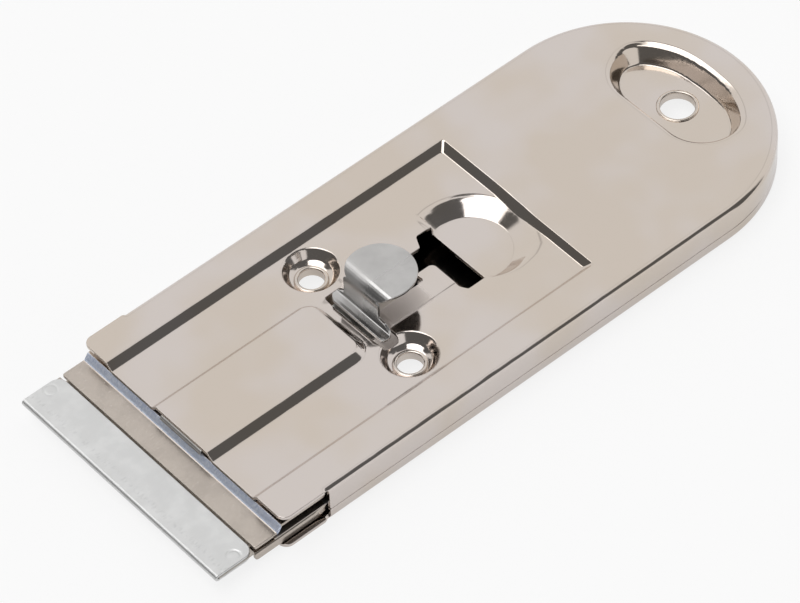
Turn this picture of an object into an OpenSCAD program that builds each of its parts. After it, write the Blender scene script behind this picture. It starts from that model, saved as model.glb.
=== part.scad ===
// Retractable razor scraper: two pressed shells, a sliding blade carrier, a leaf with its thumb tab,
// and a backed blade. Lengths are in millimetres. X runs from the blade to the hanging end, Z is up,
// and the underside lies on Z = 0.

/* [Body] */
// Width across the side walls
body_w = 39.4; // [39.2:0.1:41]
// Length of the shells from the open front to the rounded end
body_l = 94.4; // [92:0.2:100]
// Height over both shells
body_h = 5.8; // [5.8:0.1:6.4]
// Thickness of the shell sheet
sheet = 0.5; // [0.45:0.01:0.52]
// Height of the seam between the shells
seam_h = 2.0; // [1.8:0.1:2.2]
// Outer radius of the folded long edges
edge_r = 0.9; // [0.8:0.05:1.1]
// Length of the side wall cut-outs at the front
notch_l = 7.3; // [6:0.1:8.5]

/* [Pressed panel] */
// Depth of the sunk panel below the deck
panel_depth = 0.85; // [0.75:0.01:0.9]
// Half width of the panel floor
panel_half = 13.7; // [13.5:0.1:14.5]
// Distance from the front to the rear end of the panel floor
panel_l = 55; // [55:0.1:57]
// Half width of the raised channel at its top
channel_half = 5.0; // [4.8:0.1:5.2]
// Distance from the front to the end of the raised channel top
channel_l = 25.2; // [25:0.1:25.4]
// Height of the low step around the tab slot
island_h = 0.15; // [0.1:0.01:0.18]

/* [Tab slot] */
// Middle of the cross openings, measured to the left of the axis
cross_shift = -0.65; // [-0.75:0.05:-0.55]
// Middle of the long slot, measured to the left of the axis
slot_shift = 1.55; // [1.4:0.05:1.6]
// Width of the narrow part of the slot
slot_w = 3.05; // [3:0.05:3.4]
// Width of the wide part of the slot
slot_wide_w = 5.9; // [5.6:0.1:6]

/* [Thumb recess] */
// Floor radius of the recess behind the slot
thumb_r = 5.55; // [5.4:0.05:5.55]
// Depth of its floor below the panel
thumb_depth = 1.4; // [1.1:0.05:1.5]

/* [Eyelets] */
// Distance from the front to the two joining eyelets
eyelet_x = 29.15; // [29.05:0.05:29.45]
// Distance of each joining eyelet from the axis
eyelet_y = 9.55; // [9.4:0.05:9.9]
// Clear radius of a joining eyelet
eyelet_r = 1.72; // [1.5:0.02:1.8]
// Clear radius of the hanging eyelet
hang_r = 2.35; // [2:0.05:2.5]
// Distance from the rounded end to the hanging eyelet
hang_inset = 10.5; // [10:0.1:11]

/* [Blade] */
// Length of the blade across the tool
blade_w = 38.1; // [37.5:0.1:38.2]
// Width of the blade from its back to its edge
blade_d = 19; // [18.6:0.1:19.2]
// Width of the folded back
spine_d = 6.2; // [5.8:0.1:6.4]
// How far the back stands out of the shells
blade_reach = 10.45; // [10.4:0.05:10.7]

/* [Carrier] */
// How much narrower the carrier is than the blade
carrier_play = 0.4; // [0.3:0.05:0.8]
// How far the lip of the carrier stands out of the shells
lip_reach = 4.05; // [3.9:0.05:4.1]
// Length of the riveted seam behind the blade pocket
seam_l = 1.65; // [1.6:0.05:1.9]

/* [Thumb tab] */
// Width of the leaf in the channel
leaf_w = 7.8; // [7:0.1:8]
// Height of the thumb disc above the underside
tab_h = 10.1; // [9.6:0.1:10.8]
// Radius of the thumb disc
disc_r = 4.75; // [4.6:0.05:5]
// Width of the neck under the disc
neck_w = 6.6; // [6:0.1:7]
// Width of the locking lug
lug_w = 10.6; // [10:0.1:10.6]

/* [Hidden] */
$fn = 64;
eps = 0.01;
// Long reach for cutting tools that run out of the work
far = 30;
half_w = body_w / 2;
end_x = body_l - half_w;
// The frame's origin lies midway between the blade's back and the rounded end
origin_x = (body_l - blade_reach) / 2;
panel_z = body_h - panel_depth;
island_z = panel_z + island_h;
// Horizontal run of the step walls, and how far they move sideways from face to back
step_run = 0.85;
step_grow = side_shift(step_run, panel_depth);
// Pressed floors around the holes, where the shells touch
touch_z = 2.8;
floor_z = touch_z + sheet;
dimple_top_r = 3.7;
base_dimple_top_r = 3.6;
dimple_floor_r = 2.3;
hang_x = body_l - hang_inset;
oval_x = hang_x + 0.3;
oval_y = 4.6;
oval_shift = 0.4;
oval_top_r = 6.1;
oval_floor_r = 4.5;
oval_sweep_top = 15.9;
oval_sweep_floor = 14.1;
// Openings for the tab
front_cross_x0 = 27.4;
front_cross_x1 = 30.2;
front_cross_half = 5.75;
narrow_x0 = 38.5;
rear_cross_x0 = 41.35;
rear_cross_x1 = 45.4;
rear_cross_half = 5.5;
slot_corner_r = 0.9;
island_y0 = -4.4;
island_y1 = 5.3;
island_x0 = 31;
thumb_x = rear_cross_x1 + 1.9;
thumb_shift = -0.5;
thumb_z = panel_z - thumb_depth;
thumb_run = 2.1;
// Eyelet tubes
eyelet_wall = 0.22;
eyelet_play = 0.02;
eyelet_flange = 0.34;
eyelet_lip = 0.14;
// Carrier sheets
leaf_t = 0.45;
tray_z = 1.95;
tray_rear_z = 2.5;
tray_foot_z = 0.75;
lip_z = 3.3;
clamp_z = 4.25;
joggle_x0 = -0.5;
joggle_x1 = 0.15;
joggle_shift = 0.2;
carrier_w = blade_w - carrier_play;
edge_x = blade_d - blade_reach;
clamp_bend_x0 = edge_x + 0.2;
tray_bend_x0 = edge_x - 2.95;
tray_bend_x1 = tray_bend_x0 + 1.8;
clamp_bend_x1 = clamp_bend_x0 + 0.9;
clamp_inner_shift = 0.25;
carrier_l = clamp_bend_x1 + seam_l;
rivet_x = clamp_bend_x1 + seam_l / 2;
rivet_ys = [-0.8, -0.48, 0.48, 0.8];
rivet_r = 0.5;
rivet_head_r = 0.78;
rivet_head_h = 0.28;
rivet_play = 0.01;
// Blade
steel_t = 0.23;
steel_z = tray_rear_z + 0.04;
spine_t = 1.0;
spine_z = steel_z + steel_t / 2 - spine_t / 2;
spine_corner_r = 1.5;
spine_lap = 5.6;
bevel_l = 1.6;
edge_t = 0.05;
blade_notch_l = 3.2;
blade_notch_d = 1.2;
stake_r = 1.05;
stake_inset_x = 2.4;
stake_inset_y = 2.5;
// Leaf and tab
strip_t = 0.32;
hem_z0 = clamp_z + 0.04;
hem_z1 = hem_z0 + 0.94;
hem_x0 = -0.15;
hem_x1 = 1.6;
strip_z = 4.58;
strip_low_z = 3.93;
hem_bend_x0 = 1.9;
hem_bend_x1 = 3.4;
strip_bend_x0 = clamp_bend_x0 + 1;
strip_bend_x1 = strip_bend_x0 + 0.7;
bend_shift = 0.05;
tab_t = 0.4;
neck_x = 29.3;
lug_z = island_z + 0.05;
lug_x0 = 27.75;
lug_top = 5.72;
lug_shift = -0.7;
shoulder_z = 5.88;
stem_w = 2.6;
bend_r = 1.1;
disc_x = neck_x + 3.5;

// How far a pressed wall of the given run and rise moves sideways through a sheet of even thickness.
function side_shift(run, rise) = sheet * tan(atan2(rise, run) / 2);

// Moves work from the front edge of the shells to the frame's origin.
module in_frame() {
  translate([-origin_x, 0, 0]) children();
}

// Extrudes a Y-Z profile along X.
module along_x(x0, x1) {
  translate([x0, 0, 0]) rotate([90, 0, 90]) linear_extrude(x1 - x0) children();
}

// Extrudes an X-Z profile along Y, from y0 to y1.
module along_y(y0, y1) {
  translate([0, y1, 0]) rotate([90, 0, 0]) linear_extrude(y1 - y0) children();
}

// Half of the shells' cross-section with its rounded outer corner, shrunk by d, with its deck at the top.
module half_section(d, z0) {
  r = edge_r - d;
  w = half_w - d;
  h = body_h - d;
  translate([0, z0]) square([w - r, h - z0]);
  translate([0, z0]) square([w, h - r - z0]);
  translate([w - r, h - r]) circle(r);
}

// Solid with the outline of the tool, straight sides and a round end, down to z0.
module tool_solid(d, z0, x0) {
  along_x(x0, end_x) {
    half_section(d, z0);
    mirror([1, 0]) half_section(d, z0);
  }
  translate([end_x, 0, 0]) rotate([0, 0, -90]) rotate_extrude(angle = 180) half_section(d, z0);
}

// Prism along X with sloped sides: half width w at height z, opening by run per unit of height.
module sloped_trough(w, z, slope, x0, x1, z1) {
  along_x(x0, x1) polygon([[-w, z], [w, z], [w + slope * (z1 - z), z1], [-w - slope * (z1 - z), z1]]);
}

// Prism along Y with a sloped rear end at x, leaning outwards by run per unit of height.
module sloped_end(x0, x, z, slope, z1) {
  along_y(-far, far) polygon([[x0, z], [x, z], [x + slope * (z1 - z), z1], [x0, z1]]);
}

// Raised channel inside the panel pocket, from the front to its sloped end.
module channel(d) {
  z = panel_z - d - eps;
  top = body_h - d;
  slope = step_run / panel_depth;
  x = channel_l - step_grow * d / sheet;
  w = channel_half + step_run - step_grow * d / sheet;
  intersection() {
    along_x(-far, far)
      polygon([[-w, z], [w, z], [w - slope * (top - z), top], [slope * (top - z) - w, top]]);
    along_y(-far, far) polygon([[-far, z], [x + step_run, z], [x, top], [-far, top]]);
  }
}

// Low flat step that carries the slot.
module island(d) {
  shift = step_grow * d / sheet;
  translate([island_x0, island_y0 + shift, panel_z - d - eps])
    cube([thumb_x - island_x0, island_y1 - island_y0 - 2 * shift, island_h + eps]);
}

// The sunk panel as a tool that cuts the deck, for a surface d below the outer one.
module panel_pocket(d) {
  slope = step_run / panel_depth;
  grow = step_grow * d / sheet;
  difference() {
    intersection() {
      sloped_trough(panel_half + grow, panel_z - d, slope, -far, far * 3, body_h + 1);
      sloped_end(-far, panel_l + grow, panel_z - d, slope, body_h + 1);
    }
    channel(d);
    island(d);
  }
}

// Round pressed dimple that opens upwards.
module dimple(r_floor, r_top, z, z_top, d) {
  rise = z_top - z;
  grow = side_shift(r_top - r_floor, rise) * d / sheet;
  slope = (r_top - r_floor) / rise;
  translate([0, 0, z - d]) cylinder(h = rise + 1, r1 = r_floor + grow, r2 = r_top + grow + slope);
}

// Half-round thumb recess with a straight front.
module thumb_pocket(d) {
  r = thumb_r + side_shift(thumb_run, thumb_depth) * d / sheet;
  slope = thumb_run / thumb_depth;
  intersection() {
    translate([thumb_x, thumb_shift, thumb_z - d])
      cylinder(h = thumb_depth + eps, r1 = r, r2 = r + thumb_run + slope * eps);
    translate([rear_cross_x1 - d, -far, 0]) cube([far, 2 * far, far]);
  }
}

// Oval recess around the hanging hole, with its rear wall following the rounded end.
module oval_pocket(d) {
  depth = body_h - floor_z;
  run = oval_top_r - oval_floor_r;
  sweep_run = oval_sweep_top - oval_sweep_floor;
  z = floor_z - d;
  h = depth + 1;
  r1 = oval_floor_r + side_shift(run, depth) * d / sheet;
  r2 = r1 + run * h / depth;
  sweep = oval_sweep_floor + side_shift(sweep_run, depth) * d / sheet;
  intersection() {
    translate([oval_x, oval_shift, 0]) {
      for (side = [-1, 1])
        translate([0, side * oval_y, z]) cylinder(h = h, r1 = r1, r2 = r2);
      along_y(-oval_y, oval_y) polygon([[-r1, z], [r1, z], [r2, z + h], [-r2, z + h]]);
    }
    translate([end_x, 0, z]) cylinder(h = h, r1 = sweep, r2 = sweep + sweep_run * h / depth);
  }
}

// Everything the outer surface of the top shell encloses, or its inner surface when d is the sheet.
module top_form(d) {
  difference() {
    tool_solid(d, d > 0 ? 0 : seam_h + 0.02, d > 0 ? -1 : 0);
    panel_pocket(d);
    thumb_pocket(d);
    oval_pocket(d);
    for (side = [-1, 1])
      translate([eyelet_x, side * eyelet_y, 0])
        dimple(dimple_floor_r, dimple_top_r, floor_z, panel_z, d);
  }
}

// Plan of the openings for the tab: front cross, wide slot, narrow slot, rear cross.
module tab_openings() {
  translate([front_cross_x0, cross_shift - front_cross_half])
    square([front_cross_x1 - front_cross_x0, 2 * front_cross_half]);
  translate([front_cross_x1 - eps, slot_shift - slot_wide_w / 2])
    square([narrow_x0 - front_cross_x1 + eps, slot_wide_w]);
  translate([narrow_x0 - eps, slot_shift - slot_w / 2])
    square([rear_cross_x0 - narrow_x0 + 2 * eps, slot_w]);
  translate([rear_cross_x0, cross_shift - rear_cross_half])
    square([rear_cross_x1 - rear_cross_x0, 2 * rear_cross_half]);
  // rounded corner between the slot and the rear cross opening
  translate([rear_cross_x0 - slot_corner_r, slot_shift - slot_w / 2 - slot_corner_r]) difference() {
    square(slot_corner_r + eps);
    circle(slot_corner_r);
  }
}

// Cut-outs of the side walls at the front; the deck and the floor run on as flat tongues.
module wall_notches(z0, z1) {
  for (side = [-1, 1])
    translate([-eps, side > 0 ? half_w - 2 * edge_r : -half_w - 1, z0])
      cube([notch_l + eps, 2 * edge_r + 1, z1 - z0]);
}

// Rounds the two front corners of a tongue.
module tongue_corners() {
  r = 1.3;
  for (side = [-1, 1])
    translate([0, side * half_w, 0]) scale([1, side, 1]) difference() {
      translate([-1, -r, -1]) cube([r + 1, r + 1, body_h + 2]);
      translate([r, -r, -2]) cylinder(h = body_h + 4, r = r);
    }
}

// Upper shell with its deck, panel, channel, slot and recesses.
module top_shell() {
  color([0.78, 0.76, 0.73]) in_frame() difference() {
    top_form(0);
    top_form(sheet);
    translate([0, 0, panel_z - sheet - 1]) linear_extrude(far) tab_openings();
    for (side = [-1, 1])
      translate([eyelet_x, side * eyelet_y, 0]) cylinder(h = far, r = eyelet_r + eyelet_wall + eyelet_play);
    translate([hang_x, 0, 0]) cylinder(h = far, r = hang_r + eyelet_wall + eyelet_play);
    wall_notches(0, body_h - sheet);
    tongue_corners();
  }
}

// What the lower shell encloses: the tool's outline upside down, without the raised dimples.
module bottom_form(d) {
  difference() {
    translate([0, 0, body_h]) mirror([0, 0, 1])
      tool_solid(d, d > 0 ? 0 : body_h - seam_h, d > 0 ? -1 : 0);
    translate([0, 0, body_h - sheet]) mirror([0, 0, 1]) {
      for (side = [-1, 1])
        translate([eyelet_x, side * eyelet_y, 0])
          dimple(dimple_floor_r, base_dimple_top_r, body_h - touch_z, body_h - sheet, d);
      translate([hang_x, 0, 0])
        dimple(hang_r + 1.2, hang_r + 2.8, body_h - touch_z, body_h - sheet, d);
    }
  }
}

// Lower shell: a shallow tray with dimples that reach up to the upper shell.
module bottom_shell() {
  color([0.76, 0.74, 0.71]) in_frame() difference() {
    bottom_form(0);
    bottom_form(sheet);
    for (side = [-1, 1])
      translate([eyelet_x, side * eyelet_y, -1]) cylinder(h = far, r = eyelet_r + eyelet_wall + eyelet_play);
    translate([hang_x, 0, -1]) cylinder(h = far, r = hang_r + eyelet_wall + eyelet_play);
    wall_notches(sheet, body_h);
    translate([0, 0, -1]) tongue_corners();
  }
}

// Hollow rivet through both shells: a tube with a rolled flange at each end.
module eyelet(r) {
  z0 = touch_z - sheet - eyelet_lip;
  z1 = floor_z + eyelet_lip;
  rotate_extrude() {
    translate([r, z0]) square([eyelet_wall, z1 - z0]);
    translate([r, z1 - eyelet_lip]) square([eyelet_wall + eyelet_flange, eyelet_lip]);
    translate([r, z0]) square([eyelet_wall + eyelet_flange, eyelet_lip]);
  }
}

module left_eyelet() {
  color([0.8, 0.78, 0.75]) in_frame() translate([eyelet_x, eyelet_y, 0]) eyelet(eyelet_r);
}

module right_eyelet() {
  color([0.8, 0.78, 0.75]) in_frame() translate([eyelet_x, -eyelet_y, 0]) eyelet(eyelet_r);
}

module hang_eyelet() {
  color([0.8, 0.78, 0.75]) in_frame() translate([hang_x, 0, 0]) eyelet(hang_r);
}

// Rivet holes or shanks through the joined rear edges of the carrier.
module rivet_rows(r, z0, z1) {
  for (y = rivet_ys)
    translate([rivet_x, y * carrier_w / 2, z0]) cylinder(h = z1 - z0, r = r);
}

// Lower leaf of the carrier: a plate that steps up at the rear, its side edges folded down as runners.
module carrier_tray() {
  w = carrier_w / 2;
  rear_mid = tray_rear_z - leaf_t / 2;
  front_mid = tray_z - leaf_t / 2;
  color([0.7, 0.69, 0.67]) in_frame() difference() {
    union() {
      along_y(-w, w) polygon([
        [-lip_reach, tray_z - leaf_t], [tray_bend_x0, tray_z - leaf_t],
        [tray_bend_x1, tray_rear_z - leaf_t], [carrier_l, tray_rear_z - leaf_t],
        [carrier_l, tray_rear_z], [tray_bend_x1, tray_rear_z],
        [tray_bend_x0, tray_z], [-lip_reach, tray_z]]);
      for (y0 = [-w, w - leaf_t])
        along_y(y0, y0 + leaf_t) polygon([
          [-lip_reach, tray_foot_z], [carrier_l, tray_foot_z], [carrier_l, rear_mid],
          [tray_bend_x1, rear_mid], [tray_bend_x0, front_mid], [-lip_reach, front_mid]]);
    }
    rivet_rows(rivet_r + rivet_play, 0, far);
  }
}

// Upper leaf of the carrier: a low front lip, a joggle up over the blade pocket, and a rear edge bent down.
module carrier_clamp() {
  w = carrier_w / 2;
  inner_x0 = clamp_bend_x0 - clamp_inner_shift;
  inner_x1 = clamp_bend_x1 - clamp_inner_shift;
  color([0.72, 0.71, 0.69]) in_frame() difference() {
    along_y(-w, w) polygon([
      [-lip_reach, lip_z - leaf_t], [joggle_x0 + joggle_shift, lip_z - leaf_t],
      [joggle_x1 + joggle_shift, clamp_z - leaf_t], [inner_x0, clamp_z - leaf_t],
      [inner_x1, tray_rear_z], [carrier_l, tray_rear_z],
      [carrier_l, tray_rear_z + leaf_t], [clamp_bend_x1, tray_rear_z + leaf_t],
      [clamp_bend_x0, clamp_z], [joggle_x1, clamp_z], [joggle_x0, lip_z], [-lip_reach, lip_z]]);
    rivet_rows(rivet_r + rivet_play, 0, far);
  }
}

// Four small rivets that join the two leaves of the carrier.
module carrier_rivets() {
  z0 = tray_rear_z - leaf_t;
  z1 = tray_rear_z + leaf_t;
  color([0.6, 0.6, 0.6]) in_frame() {
    rivet_rows(rivet_r, z0 - eps, z1 + eps);
    rivet_rows(rivet_head_r, z1, z1 + rivet_head_h);
    rivet_rows(rivet_head_r, z0 - rivet_head_h, z0);
  }
}

// Leaf in the raised channel: hemmed front end, step down behind the carrier, flat run to the tab.
module leaf_strip() {
  r = (hem_z1 - hem_z0) / 2;
  color([0.72, 0.72, 0.71]) in_frame() along_y(-leaf_w / 2, leaf_w / 2) {
    // folded front end
    difference() {
      translate([hem_x0 + r, hem_z0 + r]) circle(r);
      translate([hem_x0 + r, hem_z0 + r]) circle(r - strip_t);
      translate([hem_x0 + r, hem_z0 - 1]) square(far);
    }
    translate([hem_x0 + r - eps, hem_z0]) square([hem_x1 - hem_x0 - r + eps, strip_t]);
    polygon([
      [hem_x0 + r - eps, hem_z1 - strip_t], [hem_bend_x0, hem_z1 - strip_t],
      [hem_bend_x1, strip_z], [strip_bend_x0, strip_z],
      [strip_bend_x1, strip_low_z], [neck_x, strip_low_z], [neck_x, strip_low_z + strip_t],
      [strip_bend_x1 + bend_shift, strip_low_z + strip_t], [strip_bend_x0 + bend_shift, strip_z + strip_t],
      [hem_bend_x1, strip_z + strip_t], [hem_bend_x0, hem_z1], [hem_x0 + r - eps, hem_z1]]);
  }
}

// Side profile of the neck with the bend into the disc.
module tab_profile() {
  translate([neck_x, lug_z]) square([tab_t, tab_h - bend_r - lug_z]);
  translate([neck_x + bend_r, tab_h - bend_r]) difference() {
    circle(bend_r);
    circle(bend_r - tab_t);
    translate([0, -far]) square(2 * far);
    translate([-far, -2 * far]) square([2 * far, 2 * far]);
  }
  translate([neck_x + bend_r - eps, tab_h - tab_t]) square([disc_x - neck_x - bend_r, tab_t]);
}

// Face of the neck seen along X: stem, wide locking lug with rounded shoulders, neck.
module neck_face() {
  r = (shoulder_z - lug_z) / 2;
  translate([slot_shift - stem_w / 2, strip_low_z]) square([stem_w, lug_z - strip_low_z + r]);
  translate([lug_shift - lug_w / 2, lug_z]) square([lug_w, shoulder_z - r - lug_z]);
  translate([lug_shift - lug_w / 2 + r, lug_z]) square([lug_w - 2 * r, shoulder_z - lug_z]);
  for (side = [-1, 1])
    translate([lug_shift + side * (lug_w / 2 - r), shoulder_z - r]) circle(r);
  translate([-neck_w / 2, lug_z]) square([neck_w, tab_h]);
}

// Thumb tab: disc, neck, locking lug with its front trough, and the stem down to the leaf.
module thumb_tab() {
  color([0.7, 0.7, 0.7]) in_frame() {
    along_x(neck_x, neck_x + tab_t) intersection() {
      neck_face();
      translate([-far, 0]) square([2 * far, tab_h - bend_r]);
    }
    along_y(-neck_w / 2, neck_w / 2) difference() {
      tab_profile();
      translate([neck_x - 1, 0]) square([far, tab_h - bend_r]);
    }
    translate([0, 0, tab_h - tab_t]) linear_extrude(tab_t) difference() {
      translate([disc_x, 0]) circle(disc_r);
      translate([disc_x - far, -far]) square([far - disc_x + neck_x + bend_r, 2 * far]);
    }
    along_y(lug_shift - lug_w / 2, lug_shift + lug_w / 2) polygon([
      [neck_x + eps, lug_z], [neck_x + eps, lug_z + strip_t], [lug_x0 + 0.95, lug_z + strip_t],
      [lug_x0 + 0.3, lug_top], [lug_x0, lug_top - 0.12], [lug_x0 + 0.75, lug_z]]);
  }
}

// Plan of the blade steel with a notch at each end beside the back.
module steel_plan() {
  x0 = -blade_reach + spine_d - spine_lap;
  difference() {
    translate([x0, -blade_w / 2]) square([edge_x - x0, blade_w]);
    for (y = [-blade_w / 2 - eps, blade_w / 2 - blade_notch_d])
      translate([spine_d - blade_reach, y]) square([blade_notch_l, blade_notch_d + eps]);
  }
}

// Hardened strip with the edge ground from both faces.
module blade_steel() {
  mid = steel_z + steel_t / 2;
  color([0.62, 0.6, 0.57]) in_frame() intersection() {
    translate([0, 0, steel_z]) linear_extrude(steel_t) steel_plan();
    along_y(-far, far) polygon([
      [-far, steel_z - 1], [edge_x - bevel_l, steel_z - 1], [edge_x - bevel_l, steel_z],
      [edge_x, mid - edge_t / 2], [edge_x, mid + edge_t / 2], [edge_x - bevel_l, steel_z + steel_t],
      [edge_x - bevel_l, steel_z + 1], [-far, steel_z + 1]]);
  }
}

// Folded back that stiffens the blade, closed along its outer edge and staked near its ends.
module blade_spine() {
  r = spine_corner_r;
  x1 = spine_d - blade_reach;
  fold = spine_t / 2;
  color([0.82, 0.82, 0.83]) in_frame() difference() {
    intersection() {
      along_y(-blade_w / 2, blade_w / 2) {
        translate([fold - blade_reach, spine_z]) square([spine_d - fold, spine_t]);
        translate([fold - blade_reach, spine_z + fold]) circle(fold);
      }
      translate([0, 0, spine_z - 1]) linear_extrude(spine_t + 2) {
        translate([-blade_reach - 1, -blade_w / 2]) square([spine_d + 1 - r, blade_w]);
        translate([-blade_reach - 1, r - blade_w / 2]) square([spine_d + 1, blade_w - 2 * r]);
        for (side = [-1, 1])
          translate([x1 - r, side * (blade_w / 2 - r)]) circle(r);
      }
    }
    translate([x1 - spine_lap, -blade_w / 2 - 1, steel_z]) cube([spine_lap + 1, blade_w + 2, steel_t]);
    for (side = [-1, 1])
      translate([x1 - stake_inset_x, side * (blade_w / 2 - stake_inset_y), spine_z + spine_t - 0.14])
        cylinder(h = 1, r1 = stake_r - 0.35, r2 = stake_r + 1.6);
  }
}

top_shell();
bottom_shell();
left_eyelet();
right_eyelet();
hang_eyelet();
carrier_tray();
carrier_clamp();
carrier_rivets();
leaf_strip();
thumb_tab();
blade_steel();
blade_spine();
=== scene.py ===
"""Looks of a retractable razor scraper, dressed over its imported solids.

Sizes in the piece classes are millimetres in the tool's own frame: X runs back from the front edge of the
shells, Y to the tool's left and Z up from its underside. ToolFrame turns them into metres in the frame of
the solids.
"""

import logging
import math
from dataclasses import dataclass, field
from enum import Enum
from typing import Sequence

import bmesh
import bpy
import numpy as np
from mathutils import Matrix, Vector
from mathutils.geometry import delaunay_2d_cdt
from mathutils.kdtree import KDTree


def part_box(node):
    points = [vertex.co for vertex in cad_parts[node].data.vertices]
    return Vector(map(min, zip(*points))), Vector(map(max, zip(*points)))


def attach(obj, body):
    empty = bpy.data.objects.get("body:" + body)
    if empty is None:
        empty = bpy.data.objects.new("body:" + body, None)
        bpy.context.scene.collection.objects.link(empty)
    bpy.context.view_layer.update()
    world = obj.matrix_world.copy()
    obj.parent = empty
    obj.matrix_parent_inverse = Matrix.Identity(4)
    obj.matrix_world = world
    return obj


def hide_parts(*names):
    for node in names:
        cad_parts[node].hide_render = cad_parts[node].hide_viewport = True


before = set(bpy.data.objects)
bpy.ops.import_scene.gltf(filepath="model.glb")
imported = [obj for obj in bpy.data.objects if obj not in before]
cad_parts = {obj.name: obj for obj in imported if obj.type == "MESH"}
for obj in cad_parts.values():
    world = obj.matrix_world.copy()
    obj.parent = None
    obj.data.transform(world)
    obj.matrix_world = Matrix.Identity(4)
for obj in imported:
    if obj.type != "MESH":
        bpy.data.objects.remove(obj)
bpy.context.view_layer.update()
MM = 0.001  # a millimetre in metres
QUARTER = math.pi / 2
log = logging.getLogger("scraper")

Triple = tuple[float, float, float]
Rgba = tuple[float, float, float, float]


class Body(Enum):
    """The bodies that a piece can ride on."""

    SHELLS = "shells"
    CARRIER = "carrier"
    TAB = "tab"
    BLADE = "blade"


# Frame of the tool

@dataclass(frozen=True)
class ToolFrame:
    """Where the tool's own frame lies among the solids."""

    front_x: float

    @classmethod
    def from_shell(cls) -> "ToolFrame":
        """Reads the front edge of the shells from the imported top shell."""
        low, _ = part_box("top_shell")
        return cls(front_x=low.x)

    def place(self, points: np.ndarray) -> np.ndarray:
        """Turns millimetres in the tool frame into metres in the frame of the solids.

        Args:
            points: Array of shape (n, 3).

        Returns:
            Array of shape (n, 3).
        """
        moved = np.asarray(points, float) * MM
        moved[:, 0] += self.front_x
        return moved


TOOL = ToolFrame.from_shell()


# Node trees

class NodeTree:
    """Adds nodes to a shader or geometry tree and feeds their inputs."""

    def __init__(self, tree: bpy.types.NodeTree) -> None:
        """Keeps the tree."""
        self.tree = tree

    def node(self, kind: str, settings: dict | None = None, inputs: dict | None = None) -> bpy.types.Node:
        """Adds a node.

        Args:
            kind: The node's type name.
            settings: Properties that are set first, such as a Math node's operation.
            inputs: Numbers, colours, Value objects or sockets by the input's name or number.

        Returns:
            The new node.
        """
        node = self.tree.nodes.new(kind)
        for name, value in (settings or {}).items():
            setattr(node, name, value)
        for name, value in (inputs or {}).items():
            self.feed(node.inputs[name], value)
        return node

    def feed(self, target: bpy.types.NodeSocket, value: object) -> None:
        """Links a socket, or sets its value.

        Args:
            target: The input that is fed.
            value: A Value, a socket or a plain value.
        """
        if isinstance(value, Value):
            value = value.socket
        if isinstance(value, bpy.types.NodeSocket):
            self.tree.links.new(value, target)
        else:
            target.default_value = value

    def value(self, kind: str, settings: dict | None = None, inputs: dict | None = None) -> "Value":
        """Adds a node, as node does, and returns its first output."""
        return Value(self, self.node(kind, settings, inputs).outputs[0])


class Value:
    """A number socket that can be used in Python sums."""

    def __init__(self, owner: NodeTree, socket: bpy.types.NodeSocket) -> None:
        """Keeps the socket and the tree that it belongs to."""
        self.owner = owner
        self.socket = socket

    def _math(self, operation: str, *operands: "Value | float") -> "Value":
        """Adds one Math node and returns its result."""
        return self.owner.value("ShaderNodeMath", {"operation": operation}, dict(enumerate(operands)))

    def __add__(self, other: "Value | float") -> "Value":
        """Adds other."""
        return self._math("ADD", self, other)

    __radd__ = __add__

    def __sub__(self, other: "Value | float") -> "Value":
        """Takes other away."""
        return self._math("SUBTRACT", self, other)

    def __rsub__(self, other: float) -> "Value":
        """Takes this value away from other."""
        return self._math("SUBTRACT", other, self)

    def __mul__(self, other: "Value | float") -> "Value":
        """Multiplies by other."""
        return self._math("MULTIPLY", self, other)

    __rmul__ = __mul__

    def band(self, low: float, high: float) -> "Value":
        """Rises smoothly from 0 at low to 1 at high, or falls where low is above high.

        Args:
            low: Where the result is 0.
            high: Where it is 1.

        Returns:
            The result, from 0 to 1.
        """
        inputs = {"Value": self, "From Min": min(low, high), "From Max": max(low, high),
                  "To Min": float(low > high), "To Max": float(low < high)}
        return self.owner.value("ShaderNodeMapRange", {"interpolation_type": "SMOOTHSTEP"}, inputs)


@dataclass(frozen=True)
class Noise:
    """A noise pattern: its cells in a millimetre, its detail and how much finer it is along each axis."""

    scale: float
    detail: float = 2.0
    stretch: Triple = (1.0, 1.0, 1.0)


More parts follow.
